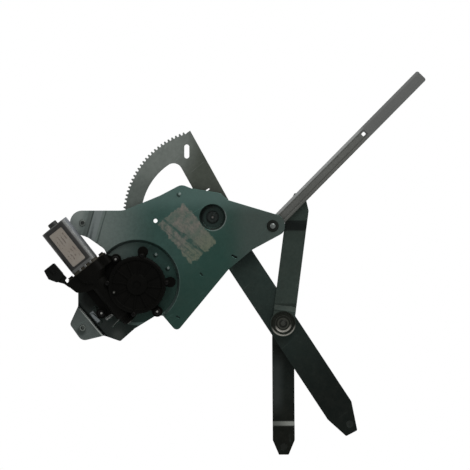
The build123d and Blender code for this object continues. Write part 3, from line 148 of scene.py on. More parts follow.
def on_shaft(x):
    """Puts a piece built about the origin square to the motor shaft: its z runs along the shaft."""
    c, s = ALONG
    place = on_motor(x, WORM_OFFSET)
    return Matrix(((-s, 0, c, place[0] * MM), (0, -1, 0, WORM_Y * MM), (c, 0, s, place[1] * MM),
                   (0, 0, 0, 1)))


# ---------------------------------------------------------------- settings a user would change
class RegulatorSizes(bpy.types.PropertyGroup):
    """Sizes of the trim."""

    label_length: bpy.props.FloatProperty(
        name="Label length", description="Length of the can's plate", default=0.052, unit="LENGTH")
    label_width: bpy.props.FloatProperty(
        name="Label width", description="Width of the can's plate", default=0.0204, unit="LENGTH")
    label_thickness: bpy.props.FloatProperty(
        name="Label thickness", description="Thickness of the can's plate", default=0.00022, unit="LENGTH")
    rib_height: bpy.props.FloatProperty(
        name="Rib height", description="How far the moulded ribs stand out", default=0.0007, unit="LENGTH")
    rib_width: bpy.props.FloatProperty(
        name="Rib width", description="Width of the moulded ribs", default=0.0013, unit="LENGTH")
    pot_ribs: bpy.props.IntProperty(
        name="Pot ribs", description="Ribs round the gear pot's wall", default=36, min=3)
    cover_ticks: bpy.props.IntProperty(
        name="Cover ticks", description="Ticks round the gear cover's rim", default=48, min=3)
    tube_rings: bpy.props.IntProperty(
        name="Tube rings", description="Rings along the worm tube's nose", default=3, min=1)
    grip_ribs: bpy.props.IntProperty(
        name="Grip ribs", description="Grip ribs across the connector", default=6, min=1)
    can_tabs: bpy.props.IntProperty(
        name="Can tabs", description="Tabs staked over the collar, on each flat", default=3, min=1)
    thread_pitch: bpy.props.FloatProperty(
        name="Thread pitch", description="Pitch of the fixing screws", default=0.0008, unit="LENGTH")


class RegulatorColours(bpy.types.PropertyGroup):
    """Colours and wear of the finishes."""

    plate: bpy.props.FloatVectorProperty(
        name="Plate", description="Passivated zinc of the base plate", subtype="COLOR",
        default=srgb(43, 65, 60), min=0, max=1)
    sector: bpy.props.FloatVectorProperty(
        name="Sector", description="Zinc of the gear sector", subtype="COLOR",
        default=srgb(76, 82, 78), min=0, max=1)
    lift_arm: bpy.props.FloatVectorProperty(
        name="Lift arm", description="Dark zinc of the lift arm", subtype="COLOR",
        default=srgb(34, 43, 40), min=0, max=1)
    cross_arm: bpy.props.FloatVectorProperty(
        name="Crossing arm", description="Dark zinc of the crossing arm", subtype="COLOR",
        default=srgb(40, 48, 44), min=0, max=1)
    rail: bpy.props.FloatVectorProperty(
        name="Rail", description="Zinc of the guide rail", subtype="COLOR",
        default=srgb(82, 83, 80), min=0, max=1)
    can: bpy.props.FloatVectorProperty(
        name="Can", description="Steel of the motor can", subtype="COLOR",
        default=srgb(72, 73, 72), min=0, max=1)
    plastic: bpy.props.FloatVectorProperty(
        name="Plastic", description="Moulded plastic of the gear housing", subtype="COLOR",
        default=srgb(6, 6, 5), min=0, max=1)
    label: bpy.props.FloatVectorProperty(
        name="Label", description="Face of the can's plate", subtype="COLOR",
        default=srgb(108, 103, 96), min=0, max=1)
    wear: bpy.props.FloatProperty(
        name="Wear", description="Bare metal along the edges", default=0.6, min=0, max=1, subtype="FACTOR")
    dust: bpy.props.FloatProperty(
        name="Dust", description="Dust on what faces up", default=0.25, min=0, max=1, subtype="FACTOR")


def colours():
    return bpy.context.scene.regulator_colours


def sizes():
    return bpy.context.scene.regulator_sizes


# ---------------------------------------------------------------- wiring of node trees
class Wiring:
    """Adds nodes to a tree and joins them."""

    def __init__(self, tree):
        self.tree = tree

    def feed(self, node, feeds):
        """Links a node's inputs to sockets, or sets them to plain values."""
        for key, value in feeds.items():
            if isinstance(value, bpy.types.NodeSocket):
                self.tree.links.new(value, node.inputs[key])
            else:
                node.inputs[key].default_value = value

    def put(self, kind, feeds=None, **settings):
        node = self.tree.nodes.new(kind)
        for name, value in settings.items():
            setattr(node, name, value)
        self.feed(node, feeds or {})
        return node

    def maths(self, operation, a, b=0.0, clamp=False):
        return self.put("ShaderNodeMath", {0: a, 1: b}, operation=operation, use_clamp=clamp).outputs[0]

    def both(self, first, *rest):
        """1 only where every mask is 1."""
        for mask in rest:
            first = self.maths("MULTIPLY", first, mask)
        return first

    def vector(self, operation, a, b):
        return self.put("ShaderNodeVectorMath", {0: a, 1: b}, operation=operation).outputs["Vector"]

    def measure(self, operation, a, b=(0, 0, 0)):
        """A number that comes from vectors: a dot product or a length."""
        return self.put("ShaderNodeVectorMath", {0: a, 1: b}, operation=operation).outputs["Value"]

    def part(self, vector, axis):
        return self.put("ShaderNodeSeparateXYZ", {0: vector}).outputs[axis]

    def combine(self, **parts):
        feeds = {key.upper(): value for key, value in parts.items()}
        return self.put("ShaderNodeCombineXYZ", feeds).outputs[0]

    def mix(self, share, a, b):
        """Colour a, turning to colour b."""
        four = [v if isinstance(v, bpy.types.NodeSocket) else (*v[:3], 1.0) for v in (a, b)]
        return self.put("ShaderNodeMix", {0: share, 6: four[0], 7: four[1]}, data_type="RGBA").outputs[2]

    def blend(self, share, a, b):
        """Number a, turning to number b."""
        return self.put("ShaderNodeMix", {0: share, 2: a, 3: b}, data_type="FLOAT").outputs[0]

    def step(self, value, low, high):
        """0 below low, 1 above high, smooth between; low may be above high."""
        return self.put("ShaderNodeMapRange", {"Value": value, "From Min": low, "From Max": high},
                        interpolation_type="SMOOTHSTEP").outputs["Result"]

    def band(self, value, low, high, soft=0.0004):
        """1 between low and high, with soft edges."""
        return self.both(self.step(value, low - soft, low + soft), self.step(value, high + soft, high - soft))

    def noise(self, at, scale, detail=4.0, roughness=0.55, distortion=0.0):
        return self.put("ShaderNodeTexNoise", {"Vector": at, "Scale": scale, "Detail": detail,
                                               "Roughness": roughness, "Distortion": distortion}).outputs[0]

    def place(self):
        return self.put("ShaderNodeTexCoord").outputs["Object"]

    def turned(self, angle):
        """The place, turned about the axis square to the plate."""
        return self.put("ShaderNodeVectorRotate", {"Vector": self.place(), "Axis": (0, 1, 0), "Angle": angle},
                        rotation_type="AXIS_ANGLE").outputs[0]


# ---------------------------------------------------------------- effects that the finishes share
RECIPES, EFFECTS = {}, {}


def effect(title, **inputs):
    """Marks a function that wires a shader group from its inputs and returns its outputs by name."""
    def keep(wire):
        RECIPES[wire.__name__] = (title, inputs, wire)
        return wire
    return keep


def make_effects():
    for key, (title, inputs, wire) in RECIPES.items():
        tree = bpy.data.node_groups.new(title, "ShaderNodeTree")
        for name, default in inputs.items():
            kind = "NodeSocketVector" if isinstance(default, tuple) else "NodeSocketFloat"
            tree.interface.new_socket(name, in_out="INPUT", socket_type=kind).default_value = default
        w = Wiring(tree)
        results = wire(w, w.put("NodeGroupInput").outputs)
        for name in results:
            kind = "NodeSocketVector" if name == "Normal" else "NodeSocketFloat"
            tree.interface.new_socket(name, in_out="OUTPUT", socket_type=kind)
        w.put("NodeGroupOutput", results)
        EFFECTS[key] = tree


@effect("Plating blotches", Scale=30.0, Spread=0.2)
def blotches(w, given):
    """Blotches of plating, cloudy at two sizes."""
    at = w.place()
    large = w.noise(at, given["Scale"], 5.0, 0.6, 0.4)
    low, high = (w.maths(way, 0.5, given["Spread"]) for way in ("SUBTRACT", "ADD"))
    fine = w.noise(at, w.maths("MULTIPLY", given["Scale"], 9.0), 3.0, 0.7)
    return {"Mask": w.step(large, low, high), "Cloud": fine}


@effect("Rolled grain", Angle=0.0, Scale=900.0)
def grain(w, given):
    """Grain of rolled sheet: fine lines at an angle in the sheet's plane."""
    drawn = w.vector("MULTIPLY", w.turned(given["Angle"]), (0.06, 1.0, 1.0))
    return {"Height": w.noise(drawn, given["Scale"], 3.0, 0.6)}


@effect("Worn edges", Radius=0.0004, Amount=0.6, Scale=220.0)
def edges(w, given):
    """Edges rounded in the shading, worn to bare metal in patches; the rim output is a painted highlight on
    the edges that face up.
    """
    rounded = w.put("ShaderNodeBevel", {"Radius": given["Radius"]}, samples=4).outputs[0]
    flat = w.put("ShaderNodeNewGeometry").outputs["True Normal"]
    upward = w.part(w.vector("SUBTRACT", rounded, flat), 2)
    edge = w.step(w.maths("SUBTRACT", 1.0, w.measure("DOT_PRODUCT", rounded, flat)), 0.004, 0.16)
    patches = w.step(w.noise(w.place(), given["Scale"], 4.0, 0.65), 0.35, 0.62)
    return {"Mask": w.maths("MULTIPLY", w.both(edge, patches), given["Amount"], True),
            "Rim": w.step(upward, 0.12, 0.5), "Normal": rounded}


@effect("Settled dust", Amount=0.3, Scale=60.0)
def dust(w, given):
    """Dust settled on what faces up."""
    upward = w.part(w.put("ShaderNodeTexCoord").outputs["Normal"], 2)
    lying = w.blend(w.step(upward, 0.15, 0.9), 0.18, 1.0)
    patches = w.step(w.noise(w.place(), given["Scale"], 6.0, 0.7), 0.38, 0.7)
    return {"Mask": w.maths("MULTIPLY", w.both(lying, patches), given["Amount"], True)}


@effect("Scratches", Scale=40.0, Width=0.012, Angle=0.6)
def scratches(w, given):
    """Hairline scratches in patches."""
    bent = w.vector("MULTIPLY", w.turned(given["Angle"]), (0.12, 1.0, 1.0))
    cells = w.put("ShaderNodeTexVoronoi", {"Vector": bent, "Scale": given["Scale"]},
                  feature="DISTANCE_TO_EDGE").outputs["Distance"]
    patches = w.step(w.noise(w.place(), 35.0, 3.0), 0.5, 0.66)
    return {"Mask": w.both(w.step(cells, given["Width"], 0.0), patches)}


@effect("Turned rings", Centre=(0.0, 0.0, 0.0), Pitch=0.0005)
def rings(w, given):
    """Marks of turning or riveting, round an axis square to the plate."""
    arm = w.vector("MULTIPLY", w.vector("SUBTRACT", w.place(), given["Centre"]), (1, 0, 1))
    radius = w.measure("LENGTH", arm)
    wave = w.maths("SINE", w.maths("DIVIDE", radius, given["Pitch"]))
    return {"Height": w.maths("MULTIPLY_ADD", wave, 0.5), "Radius": radius}


@effect("Moulded skin", Scale=900.0)
def skin(w, given):
    """Spark-eroded skin of a moulding."""
    at = w.place()
    pits = w.put("ShaderNodeTexVoronoi", {"Vector": at, "Scale": given["Scale"]}).outputs["Distance"]
    soft = w.noise(at, w.maths("MULTIPLY", given["Scale"], 0.4), 3.0)
    return {"Height": w.maths("ADD", pits, soft), "Mottle": w.noise(at, 45.0, 5.0, 0.65)}


@effect("Shade drift", Direction=(1.0, 0.0, 0.0), Start=0.0, End=0.1)
def drift(w, given):
    """Slow change of shade along a direction: painted light and shade across a piece."""
    reach = w.measure("DOT_PRODUCT", w.place(), given["Direction"])
    ragged = w.maths("ADD", reach, w.maths("MULTIPLY", w.noise(w.place(), 18.0, 3.0), 0.012))
    return {"Mask": w.step(ragged, given["Start"], given["End"])}


@effect("Bars along an axis", Axis=(1.0, 0.0, 0.0), Pitch=0.001)
def bars(w, given):
    """Bars repeated along an axis: laminations, wound wire, a worm's turns."""
    reach = w.measure("DOT_PRODUCT", w.place(), given["Axis"])
    return {"Height": w.step(w.maths("SINE", w.maths("DIVIDE", reach, given["Pitch"])), -0.6, 0.6)}


# ---------------------------------------------------------------- a material being made
class Finish:
    """A material being wired: its shader, its colour, roughness and bump so far."""

    def __init__(self, name, base, metallic, roughness, specular=0.5):
        self.material = bpy.data.materials.new(name)
        self.material.use_nodes = True
        self.material.diffuse_color = (*base[:3], 1.0)
        self.w = Wiring(self.material.node_tree)
        self.shader = self.material.node_tree.nodes["Principled BSDF"]
        self.shader.inputs["Specular IOR Level"].default_value = specular
        self.base = self.colour = tuple(base[:3])
        self.metallic, self.roughness = metallic, roughness
        self.heights, self.normal = [], None

    def effect(self, name, **values):
        return self.w.put("ShaderNodeGroup", values, node_tree=EFFECTS[name]).outputs

    def tint(self, mask, colour, strength=1.0):
        share = self.w.maths("MULTIPLY", mask, strength) if strength != 1.0 else mask
        self.colour = self.w.mix(share, self.colour, colour)

    def shade(self, mask, low, high):
        """Multiplies the colour by low where the mask is 0 and by high where it is 1."""
        feeds = {0: self.colour, "Scale": self.w.blend(mask, low, high)}
        self.colour = self.w.put("ShaderNodeVectorMath", feeds, operation="SCALE").outputs[0]

    def roughen(self, mask, roughness):
        self.roughness = self.w.blend(mask, self.roughness, roughness)

    def bump(self, height, depth):
        self.heights.append((height, depth))

    def plated(self, bloom, duller, strength=1.0, **values):
        """Blotches in which the colour turns to the bloom's and the gloss goes."""
        plating = self.effect("blotches", **values)
        self.tint(plating["Mask"], bloom, strength)
        self.roughness = self.w.blend(plating["Mask"], self.roughness, self.roughness + duller)
        return plating

    def worn(self, times, **values):
        """Rounded edges, worn to a lighter shade of the base."""
        worn = self.effect("edges", **values)
        self.tint(worn["Mask"], lighter(self.base, times))
        self.normal = worn["Normal"]
        return worn

    def dusty(self, share, scale, shade, strength, roughness=None):
        settled = self.effect("dust", Amount=colours().dust * share, Scale=scale)["Mask"]
        self.tint(settled, shade, strength)
        if roughness:
            self.roughen(settled, roughness)

    def matt(self, mask, roughness):
        """Where the mask is, the surface is no longer bare metal."""
        self.roughen(mask, roughness)
        self.metallic = self.w.blend(mask, self.metallic, 0.0)

    def reach(self, origin, direction):
        """How far a point lies past origin in a direction."""
        off = self.w.vector("SUBTRACT", self.w.place(), (origin[0] * MM, 0, origin[1] * MM))
        towards = Vector(direction).normalized() / MM
        return self.w.measure("DOT_PRODUCT", off, (towards[0], 0, towards[1]))

    def radius(self, centre):
        """How far a point lies from an axis square to the plate."""
        off = self.w.vector("SUBTRACT", self.w.place(), (centre[0] * MM, 0, centre[1] * MM))
        return self.w.measure("LENGTH", self.w.vector("MULTIPLY", off, (1 / MM, 0, 1 / MM)))

    def band(self, value, low, high, soft=0.5):
        return self.w.band(value, low, high, soft)

    def spot(self, centre, outer, inner):
        """1 within inner of a centre, falling to 0 at outer."""
        return self.w.step(self.radius(centre), outer, inner)

    def stroke(self, start, end, half_width, soft=0.5):
        """1 on a straight stroke between two places."""
        along = Vector(end) - Vector(start)
        run = self.reach(start, along)
        side = self.reach(start, (-along[1], along[0]))
        return self.w.both(self.band(run, 0, along.length, soft),
                           self.band(side, -half_width, half_width, soft))

    def crescent(self, centre, inner, outer, towards, soft=0.4):
        """1 on the part of a ring that lies in one direction from its centre."""
        radius = self.radius(centre)
        share = self.w.maths("DIVIDE", self.reach(centre, towards), radius)
        return self.w.both(self.band(radius, inner, outer, soft), self.w.step(share, 0.1, 0.75))

    def done(self):
        """Joins what was gathered to the shader and returns the material."""
        base = (*self.colour, 1.0) if isinstance(self.colour, tuple) else self.colour
        feeds = {"Base Color": base, "Roughness": self.roughness, "Metallic": self.metallic}
        normal = self.normal
        for height, depth in self.heights:
            bump = {"Height": height, "Distance": depth, "Strength": 1.0}
            if normal is not None:
                bump["Normal"] = normal
            normal = self.w.put("ShaderNodeBump", bump).outputs[0]
        if normal is not None:
            feeds["Normal"] = normal
        self.w.feed(self.shader, feeds)
        return self.material


# ---------------------------------------------------------------- marks on single pieces
def label_residue(f):
    """Paper and glue left where a sticker was pulled off the plate: two worn strips that meet at one end."""
    w, at = f.w, f.w.place()
    along, cross = f.reach(RESIDUE, RESIDUE_RUN), f.reach(RESIDUE, (-RESIDUE_RUN[1], RESIDUE_RUN[0]))
    tear = w.maths("MULTIPLY", w.maths("SUBTRACT", w.noise(at, 80.0, 6.0, 0.75), 0.5), 17.0)
    along, cross = w.maths("ADD", along, tear), w.maths("ADD", cross, w.maths("MULTIPLY", tear, 0.9))
    # the gap between the strips runs at a slant, and scraps cross it
    slant = w.maths("ADD", w.maths("MULTIPLY", along, 0.19), -6.0)
    gap = w.maths("SUBTRACT", cross, w.maths("ADD", slant, w.maths("MULTIPLY", tear, 0.8)))
    widest = w.blend(f.band(along, -8.0, 20.0, 7.0), 0.9, 3.0)
    clear = w.step(w.maths("ABSOLUTE", gap), w.maths("ADD", widest, 1.6), w.maths("ADD", widest, -0.6))
    ragged = w.step(w.noise(at, 120.0, 6.0, 0.75, 0.6), 0.36, 0.56)
    clear = w.both(clear, w.blend(ragged, 0.25, 0.95))
    half_length, half_width = RESIDUE_HALF
    cover = w.both(f.band(cross, -half_width, half_width, 1.0), w.maths("SUBTRACT", 1.0, clear))
    # the strip below the gap is flaked thin in streaks
    flakes = w.step(w.noise(at, 190.0, 7.0, 0.75), 0.36, 0.56)
    streaks = w.step(f.effect("grain", Angle=2.45, Scale=330.0)["Height"], 0.34, 0.5)
    left = w.blend(w.step(gap, -3.0, 6.0), w.blend(w.both(flakes, streaks), 0.35, 1.0),
                   w.blend(flakes, 0.62, 1.0))
    front = w.step(w.part(at, 1), 0.0004, 0.0001)
    shown = w.both(cover, left, f.band(along, -half_length, half_length, 1.0), front)
    warm = w.mix(w.step(w.noise(at, 75.0, 5.0, 0.7), 0.35, 0.65), srgb(106, 98, 92), srgb(76, 84, 76))
    green = w.mix(w.noise(at, 90.0, 4.0), srgb(82, 88, 70), srgb(98, 98, 88))
    f.tint(shown, w.mix(w.step(along, 0.0, 30.0), warm, green), 0.74)
    f.matt(shown, 0.85)
    f.bump(shown, 0.00008)


def plate_marks(f):
    """Painted shade in the plate's folds, dish and pan, painted highlights on what stands out and faces the
    light, and painted light and shade across the plate.
    """
    w, across, height = f.w, f.reach(ORIGIN, RIGHT), f.reach(ORIGIN, UP)
    # painted light and shade: darker and greener down the right side, greyer at the tip, and a paler painted
    # sheen along the top
    slope = w.step(f.reach(ORIGIN, (0.8, -0.6)), 22.0, 98.0)
    f.tint(w.both(slope, w.step(across, 128.0, 98.0)), srgb(22, 48, 41), 0.62)
    f.tint(w.step(across, 88.0, 128.0), srgb(46, 53, 50), 0.6)
    f.tint(w.step(height, 6.0, 32.0), srgb(78, 98, 94), 0.42)
    # upper ear: painted shade on its two fold lines and just outside the outer one, a painted highlight on
    # the step between them, and a paler flat beyond
    outward, ear = f.reach(UPPER_FOLD, UPPER_FACING), f.band(height, -34.0, 40.0)
    for mask, shade, strength in ((w.step(outward, 8.0, 16.0), srgb(108, 114, 111), 0.75),
                                  (f.band(outward, 0.8, 6.0, 1.5), srgb(64, 70, 68), 0.7),
                                  (f.band(outward, -12.0, -1.2), srgb(98, 104, 104), 0.7)):
        f.tint(w.both(mask, ear), shade, strength)
    f.tint(f.stroke((-81.4, 17.0), (-93.0, -24.2), 0.9), srgb(34, 40, 38), 0.8)
    f.tint(f.stroke((-64.5, 17.0), (-79.6, -33.6), 0.8), srgb(48, 56, 54), 0.75)
    # lower ear, a dull flap, with a painted shadow by its screw
    inward, below = f.reach(LOWER_FOLD, LOWER_FACING), w.step(height, -100.0, -112.0)
    f.tint(w.both(w.step(inward, 0.0, -2.0), below), srgb(58, 64, 62), 0.35)
    # painted shadow below and beside the lower ear's screw
    f.tint(f.spot((-99.3, -147.4), 8.0, 3.5), srgb(34, 40, 38), 0.75)
    # pan: painted shade, darkest where it runs out beside the lower ear and in a band beside that ear's fold
    f.shade(w.both(f.spot(PAN, 55.5, 54.0), w.step(inward, 0.5, 2.5)), 1.0, 0.80)
    wall = w.step(inward, 0.8, 2.4)
    f.tint(w.both(w.step(f.reach(PAN, (-0.72, -0.69)), 30.0, 48.0), wall), srgb(17, 22, 20), 0.84)
    f.tint(w.both(f.spot((-86.0, -104.0), 19.0, 8.0), wall), srgb(5, 8, 6), 0.9)
    f.tint(f.spot((-50.0, -154.0), 12.0, 3.0), srgb(56, 60, 57), 0.6)
    f.tint(w.both(f.band(inward, 1.2, 4.6, 0.6), below), srgb(14, 17, 16), 0.85)
    # painted highlights: the lower ear's fold catches the light, and so do the three beads in the pan
    f.tint(f.stroke((-101.0, -117.0), LOWER_FOLD_END, 1.0), srgb(140, 144, 140), 0.9)
    for start, end, half, shade in (((-86.0, -122.0), (-76.0, -135.0), 2.7, srgb(112, 118, 120)),
                                    ((-66.3, -131.6), (-57.6, -125.2), 1.7, srgb(130, 132, 130)),
                                    ((-58.0, -141.6), (-48.7, -132.3), 0.5, srgb(112, 116, 112))):
        f.tint(f.stroke(start, end, half, 0.7), shade, 0.85)
    # painted highlight on the pan's lower right rim
    f.tint(f.crescent(PAN, 53.6, 57.4, (0.9, -0.5)), srgb(96, 112, 108), 0.6)
    # pips: painted shade on their lower left and a painted highlight on their upper right; the two stamped
    # dents are painted dark, as painted shade
    for x, z in PIPS:
        f.tint(f.crescent((x, z), 1.6, 4.2, (-0.7, -0.7)), srgb(22, 32, 30), 0.6)
        f.tint(f.spot((x + 0.5, z + 0.5), 2.3, 1.2), srgb(118, 126, 124), 0.65)
    for start, end in STAMPED:
        f.tint(f.stroke(start, end, 1.1), srgb(14, 22, 20), 0.8)
    # dish of the main pivot: painted shade over the whole dish, deepest on its upper left wall, and a painted
    # highlight on its lower right rim
    f.tint(f.spot(HUB, 17.9, 16.9), srgb(27, 34, 32), 0.8)
    f.tint(f.crescent(HUB, 12.5, 17.6, (-0.8, 0.6), 0.8), srgb(9, 12, 11), 0.75)
    f.tint(f.crescent(HUB, 17.0, 18.5, (0.8, -0.6)), srgb(104, 110, 108), 0.7)


def boss_marks(f):
    """The crossing pivot's stepped boss: brown and dark, with painted highlights on the lower side of two of
    its steps.
    """
    centre = pivot("cross")
    f.tint(f.spot(centre, 17.2, 16.2), srgb(15, 16, 12), 0.9)
    for inner, outer, shade in ((5.6, 7.6, srgb(56, 57, 52)), (10.0, 11.2, srgb(46, 47, 43))):
        f.tint(f.band(f.radius(centre), inner, outer), shade, 0.6)
    # painted highlights where the lower side of two steps faces the light
    for inner, outer in ((9.2, 11.6), (14.9, 16.6)):
        f.tint(f.crescent(centre, inner, outer, (0.1, -1.0)), srgb(128, 126, 120), 0.8)


def upper_marks(f):
    """The upper half of the crossing arm: its joggle in painted shade, painted shade on the step above the
    boss, and its share of the boss.
    """
    height = f.reach(ORIGIN, UP)
    # painted shade on the joggle and on the step above the boss
    f.tint(f.band(height, *CROSS_JOGGLE, 1.6), srgb(11, 14, 13), 0.85)
    f.shade(f.band(height, *CROSS_STEP, 1.0), 1.0, 0.62)
    boss_marks(f)


def lower_marks(f):
    """The lower half of the crossing arm: a pale patch, a painted highlight on the fold near its end, and the
    boss.
    """
    w, across, height = f.w, f.reach(ORIGIN, RIGHT), f.reach(ORIGIN, UP)
    pale = w.both(f.band(height, *CROSS_PALE, 14.0), w.step(across, 175.0, 162.0))
    f.tint(pale, srgb(38, 42, 41), 0.8)
    # painted highlight on the bend near its end, brighter to the right
    fold = w.mix(w.step(across, 158.0, 182.0), srgb(64, 66, 62), srgb(98, 100, 96))
    f.tint(f.band(height, *CROSS_BEND, 0.9), fold, 0.75)
    boss_marks(f)


def rail_marks(f):
    """Painted light and shade along the rail's rolled section: a highlight on its upper bend, a dark and a
    light line near its lower edge, shade on that edge; darker towards the pivot, and its plain far end.
    """
    w, start, run = f.w, pivot("rail_swing"), JOINTS["shoe_slide"]["axis"]
    along, across = f.reach(start, (run[0], run[2])), f.reach(start, (run[2], -run[0]))
    # painted highlight on the upper bend, painted shade and light lines below it, painted shade on the lower
    # edge
    f.tint(w.step(across, -4.2, -6.0), srgb(138, 140, 139), 0.75)
    for low, high, soft, shade in RAIL_LINES:
        f.tint(f.band(across, low, high, soft), shade, 0.6)
    f.tint(w.step(across, 7.0, 8.0), srgb(52, 53, 50), 0.7)
    f.shade(w.step(along, 120.0, 10.0), 1.0, 0.84)
    f.tint(w.step(along, 168.0, 180.0), srgb(84, 85, 84), 0.8)


def can_marks(f):
    """The can is black round its plate and bare on its side, where a painted reflection of the light above
    brightens it; the boss at its end is dark too.
    """
    w, along, across = f.w, f.reach(MOTOR, ALONG), f.reach(MOTOR, ACROSS)
    black = w.both(f.band(along, *CAN_BLACK), w.step(across, *CAN_EDGE))
    end = w.step(along, *CAN_END)
    dark = w.maths("MAXIMUM", black, w.maths("MULTIPLY", end, 0.85))
    # painted reflection: the can's bare side that faces up is lightened as if it mirrored the light above
    f.tint(w.both(w.step(across, -23.0, -18.5), w.step(along, -60.0, -125.0)), srgb(120, 124, 130), 0.7)
    f.tint(dark, srgb(17, 17, 16), 0.97)
    f.matt(dark, 0.5)


def dotted(places, radius, shade):
    """Small bright centres on dark screws."""
    def mark(f):
        for place in places:
            f.tint(f.spot(place, radius + 0.4, radius - 0.2), shade, 0.9)
    return mark


# ---------------------------------------------------------------- finishes
def sheet_finish(name, base, bloom, metallic=0.45, roughness=0.42, blotch=26.0, angle=0.0, drifts=(),
                 specular=0.1, marks=None):
    """Plated sheet steel: blotchy plating, rolling grain, scratches, worn edges and dust, with drifts of
    painted light and shade and a painted highlight on edges that face up.
    """
    f = Finish(name, base, metallic, roughness, specular)
    plating = f.plated(bloom, 0.1, Scale=blotch, Spread=0.17)
    # drifts of painted light and shade across the piece
    for direction, start, end, shade in drifts:
        f.tint(f.effect("drift", Direction=direction, Start=start, End=end)["Mask"], shade)
    f.shade(f.w.step(plating["Cloud"], 0.3, 0.7), 0.92, 1.08)
    f.tint(f.effect("scratches", Scale=38.0, Width=0.010, Angle=0.7)["Mask"], lighter(base, 2.6), 0.5)
    worn = f.worn(3.0, Radius=0.0006, Amount=colours().wear)
    f.roughen(worn["Mask"], 0.3)
    if marks:
        marks(f)
    # painted highlight: the edges that face up are lightened, as if lit from above
    f.tint(worn["Rim"], lighter(base, 3.4), 0.6)
    f.dusty(0.6, 70.0, srgb(112, 108, 98), 0.6, 0.75)
    f.bump(f.effect("grain", Angle=angle, Scale=900.0)["Height"], 0.00003)
    f.bump(plating["Cloud"], 0.00005)
    return f.done()


def turned_finish(name, base, centre, metallic=0.6, roughness=0.36, pitch=0.00022, wear=1.0, specular=0.4,
                  ring=None):
    """Turned or riveted steel round one axis: tool rings, plating blotches, worn rims."""
    f = Finish(name, base, metallic, roughness, specular)
    f.plated(lighter(base, 1.5), 0.12, Scale=140.0, Spread=0.2)
    tooled = f.effect("rings", Centre=(centre[0] * MM, 0, centre[1] * MM), Pitch=pitch)
    # a band of another shade, from ring (inner, outer, shade); on the main stud it is a painted highlight
    if ring:
        inner, outer, shade = ring
        radius = tooled["Radius"]
        inside = f.w.step(radius, outer * MM, (outer - 0.5) * MM)
        f.tint(f.w.both(f.w.step(radius, inner * MM, (inner + 0.5) * MM), inside), shade, 0.8)
    f.worn(3.2, Radius=0.0003, Amount=colours().wear * wear)
    f.dusty(1.0, 120.0, srgb(100, 96, 88), 0.5)
    f.bump(tooled["Height"], 0.00002)
    return f.done()


def hardware_finish(name, base, metallic=0.65, roughness=0.34, wear=1.0, specular=0.4, marks=None):
    """Plated screws and nuts, brushed by the driver and dulled in patches."""
    f = Finish(name, base, metallic, roughness, specular)
    plating = f.plated(lighter(base, 0.62), 0.18, Scale=260.0, Spread=0.22)
    f.worn(1.9, Radius=0.00025, Amount=colours().wear * wear, Scale=500.0)
    if marks:
        marks(f)
    f.dusty(1.0, 160.0, srgb(96, 92, 84), 0.5)
    f.bump(plating["Cloud"], 0.00003)
    return f.done()


def moulded_finish(name, base, roughness=0.45, specular=0.02, scuff=1.4, grit=1100.0):
    """Moulded plastic: fine eroded skin, mottled gloss, scuffed edges, dust in the corners."""
    f = Finish(name, base, 0.0, roughness, specular)
    surface = f.effect("skin", Scale=grit)
    f.tint(f.w.step(surface["Mottle"], 0.3, 0.75), lighter(base, scuff))
    f.roughness = f.w.blend(f.w.step(surface["Mottle"], 0.3, 0.7), roughness - 0.06, roughness + 0.16)
    f.worn(2.6, Radius=0.0005, Amount=colours().wear * 0.5, Scale=160.0)
    f.dusty(0.35, 80.0, srgb(58, 54, 47), 0.55, 0.85)
    f.bump(surface["Height"], 0.00003)
    return f.done()


def barred_finish(name, base, dark, axis, pitch, metallic=0.5, roughness=0.4, depth=0.0001):
    """Parts made of many like bars: laminations, commutator, wound wire, a worm."""
    f = Finish(name, base, metallic, roughness, 0.4)
    height = f.effect("bars", Axis=axis, Pitch=pitch)["Height"]
    f.tint(f.w.maths("SUBTRACT", 1.0, height), dark, 0.7)
    f.plated(lighter(base, 0.7), 0.15, 0.5, Scale=180.0, Spread=0.2)
    f.bump(height, depth)
    return f.done()


def sintered_finish(name, base, metallic=0.4, roughness=0.55):
    """Pressed powder: ferrite, carbon or bronze, with an open grain."""
    f = Finish(name, base, metallic, roughness, 0.3)
    grains = f.effect("skin", Scale=1500.0)
    f.tint(f.w.step(grains["Height"], 0.6, 1.3), lighter(base, 1.6), 0.7)
    f.roughness = f.w.blend(grains["Mottle"], roughness - 0.1, roughness + 0.15)
    f.worn(2.0, Radius=0.0003, Amount=0.4, Scale=400.0)
    f.bump(grains["Height"], 0.00006)
    return f.done()


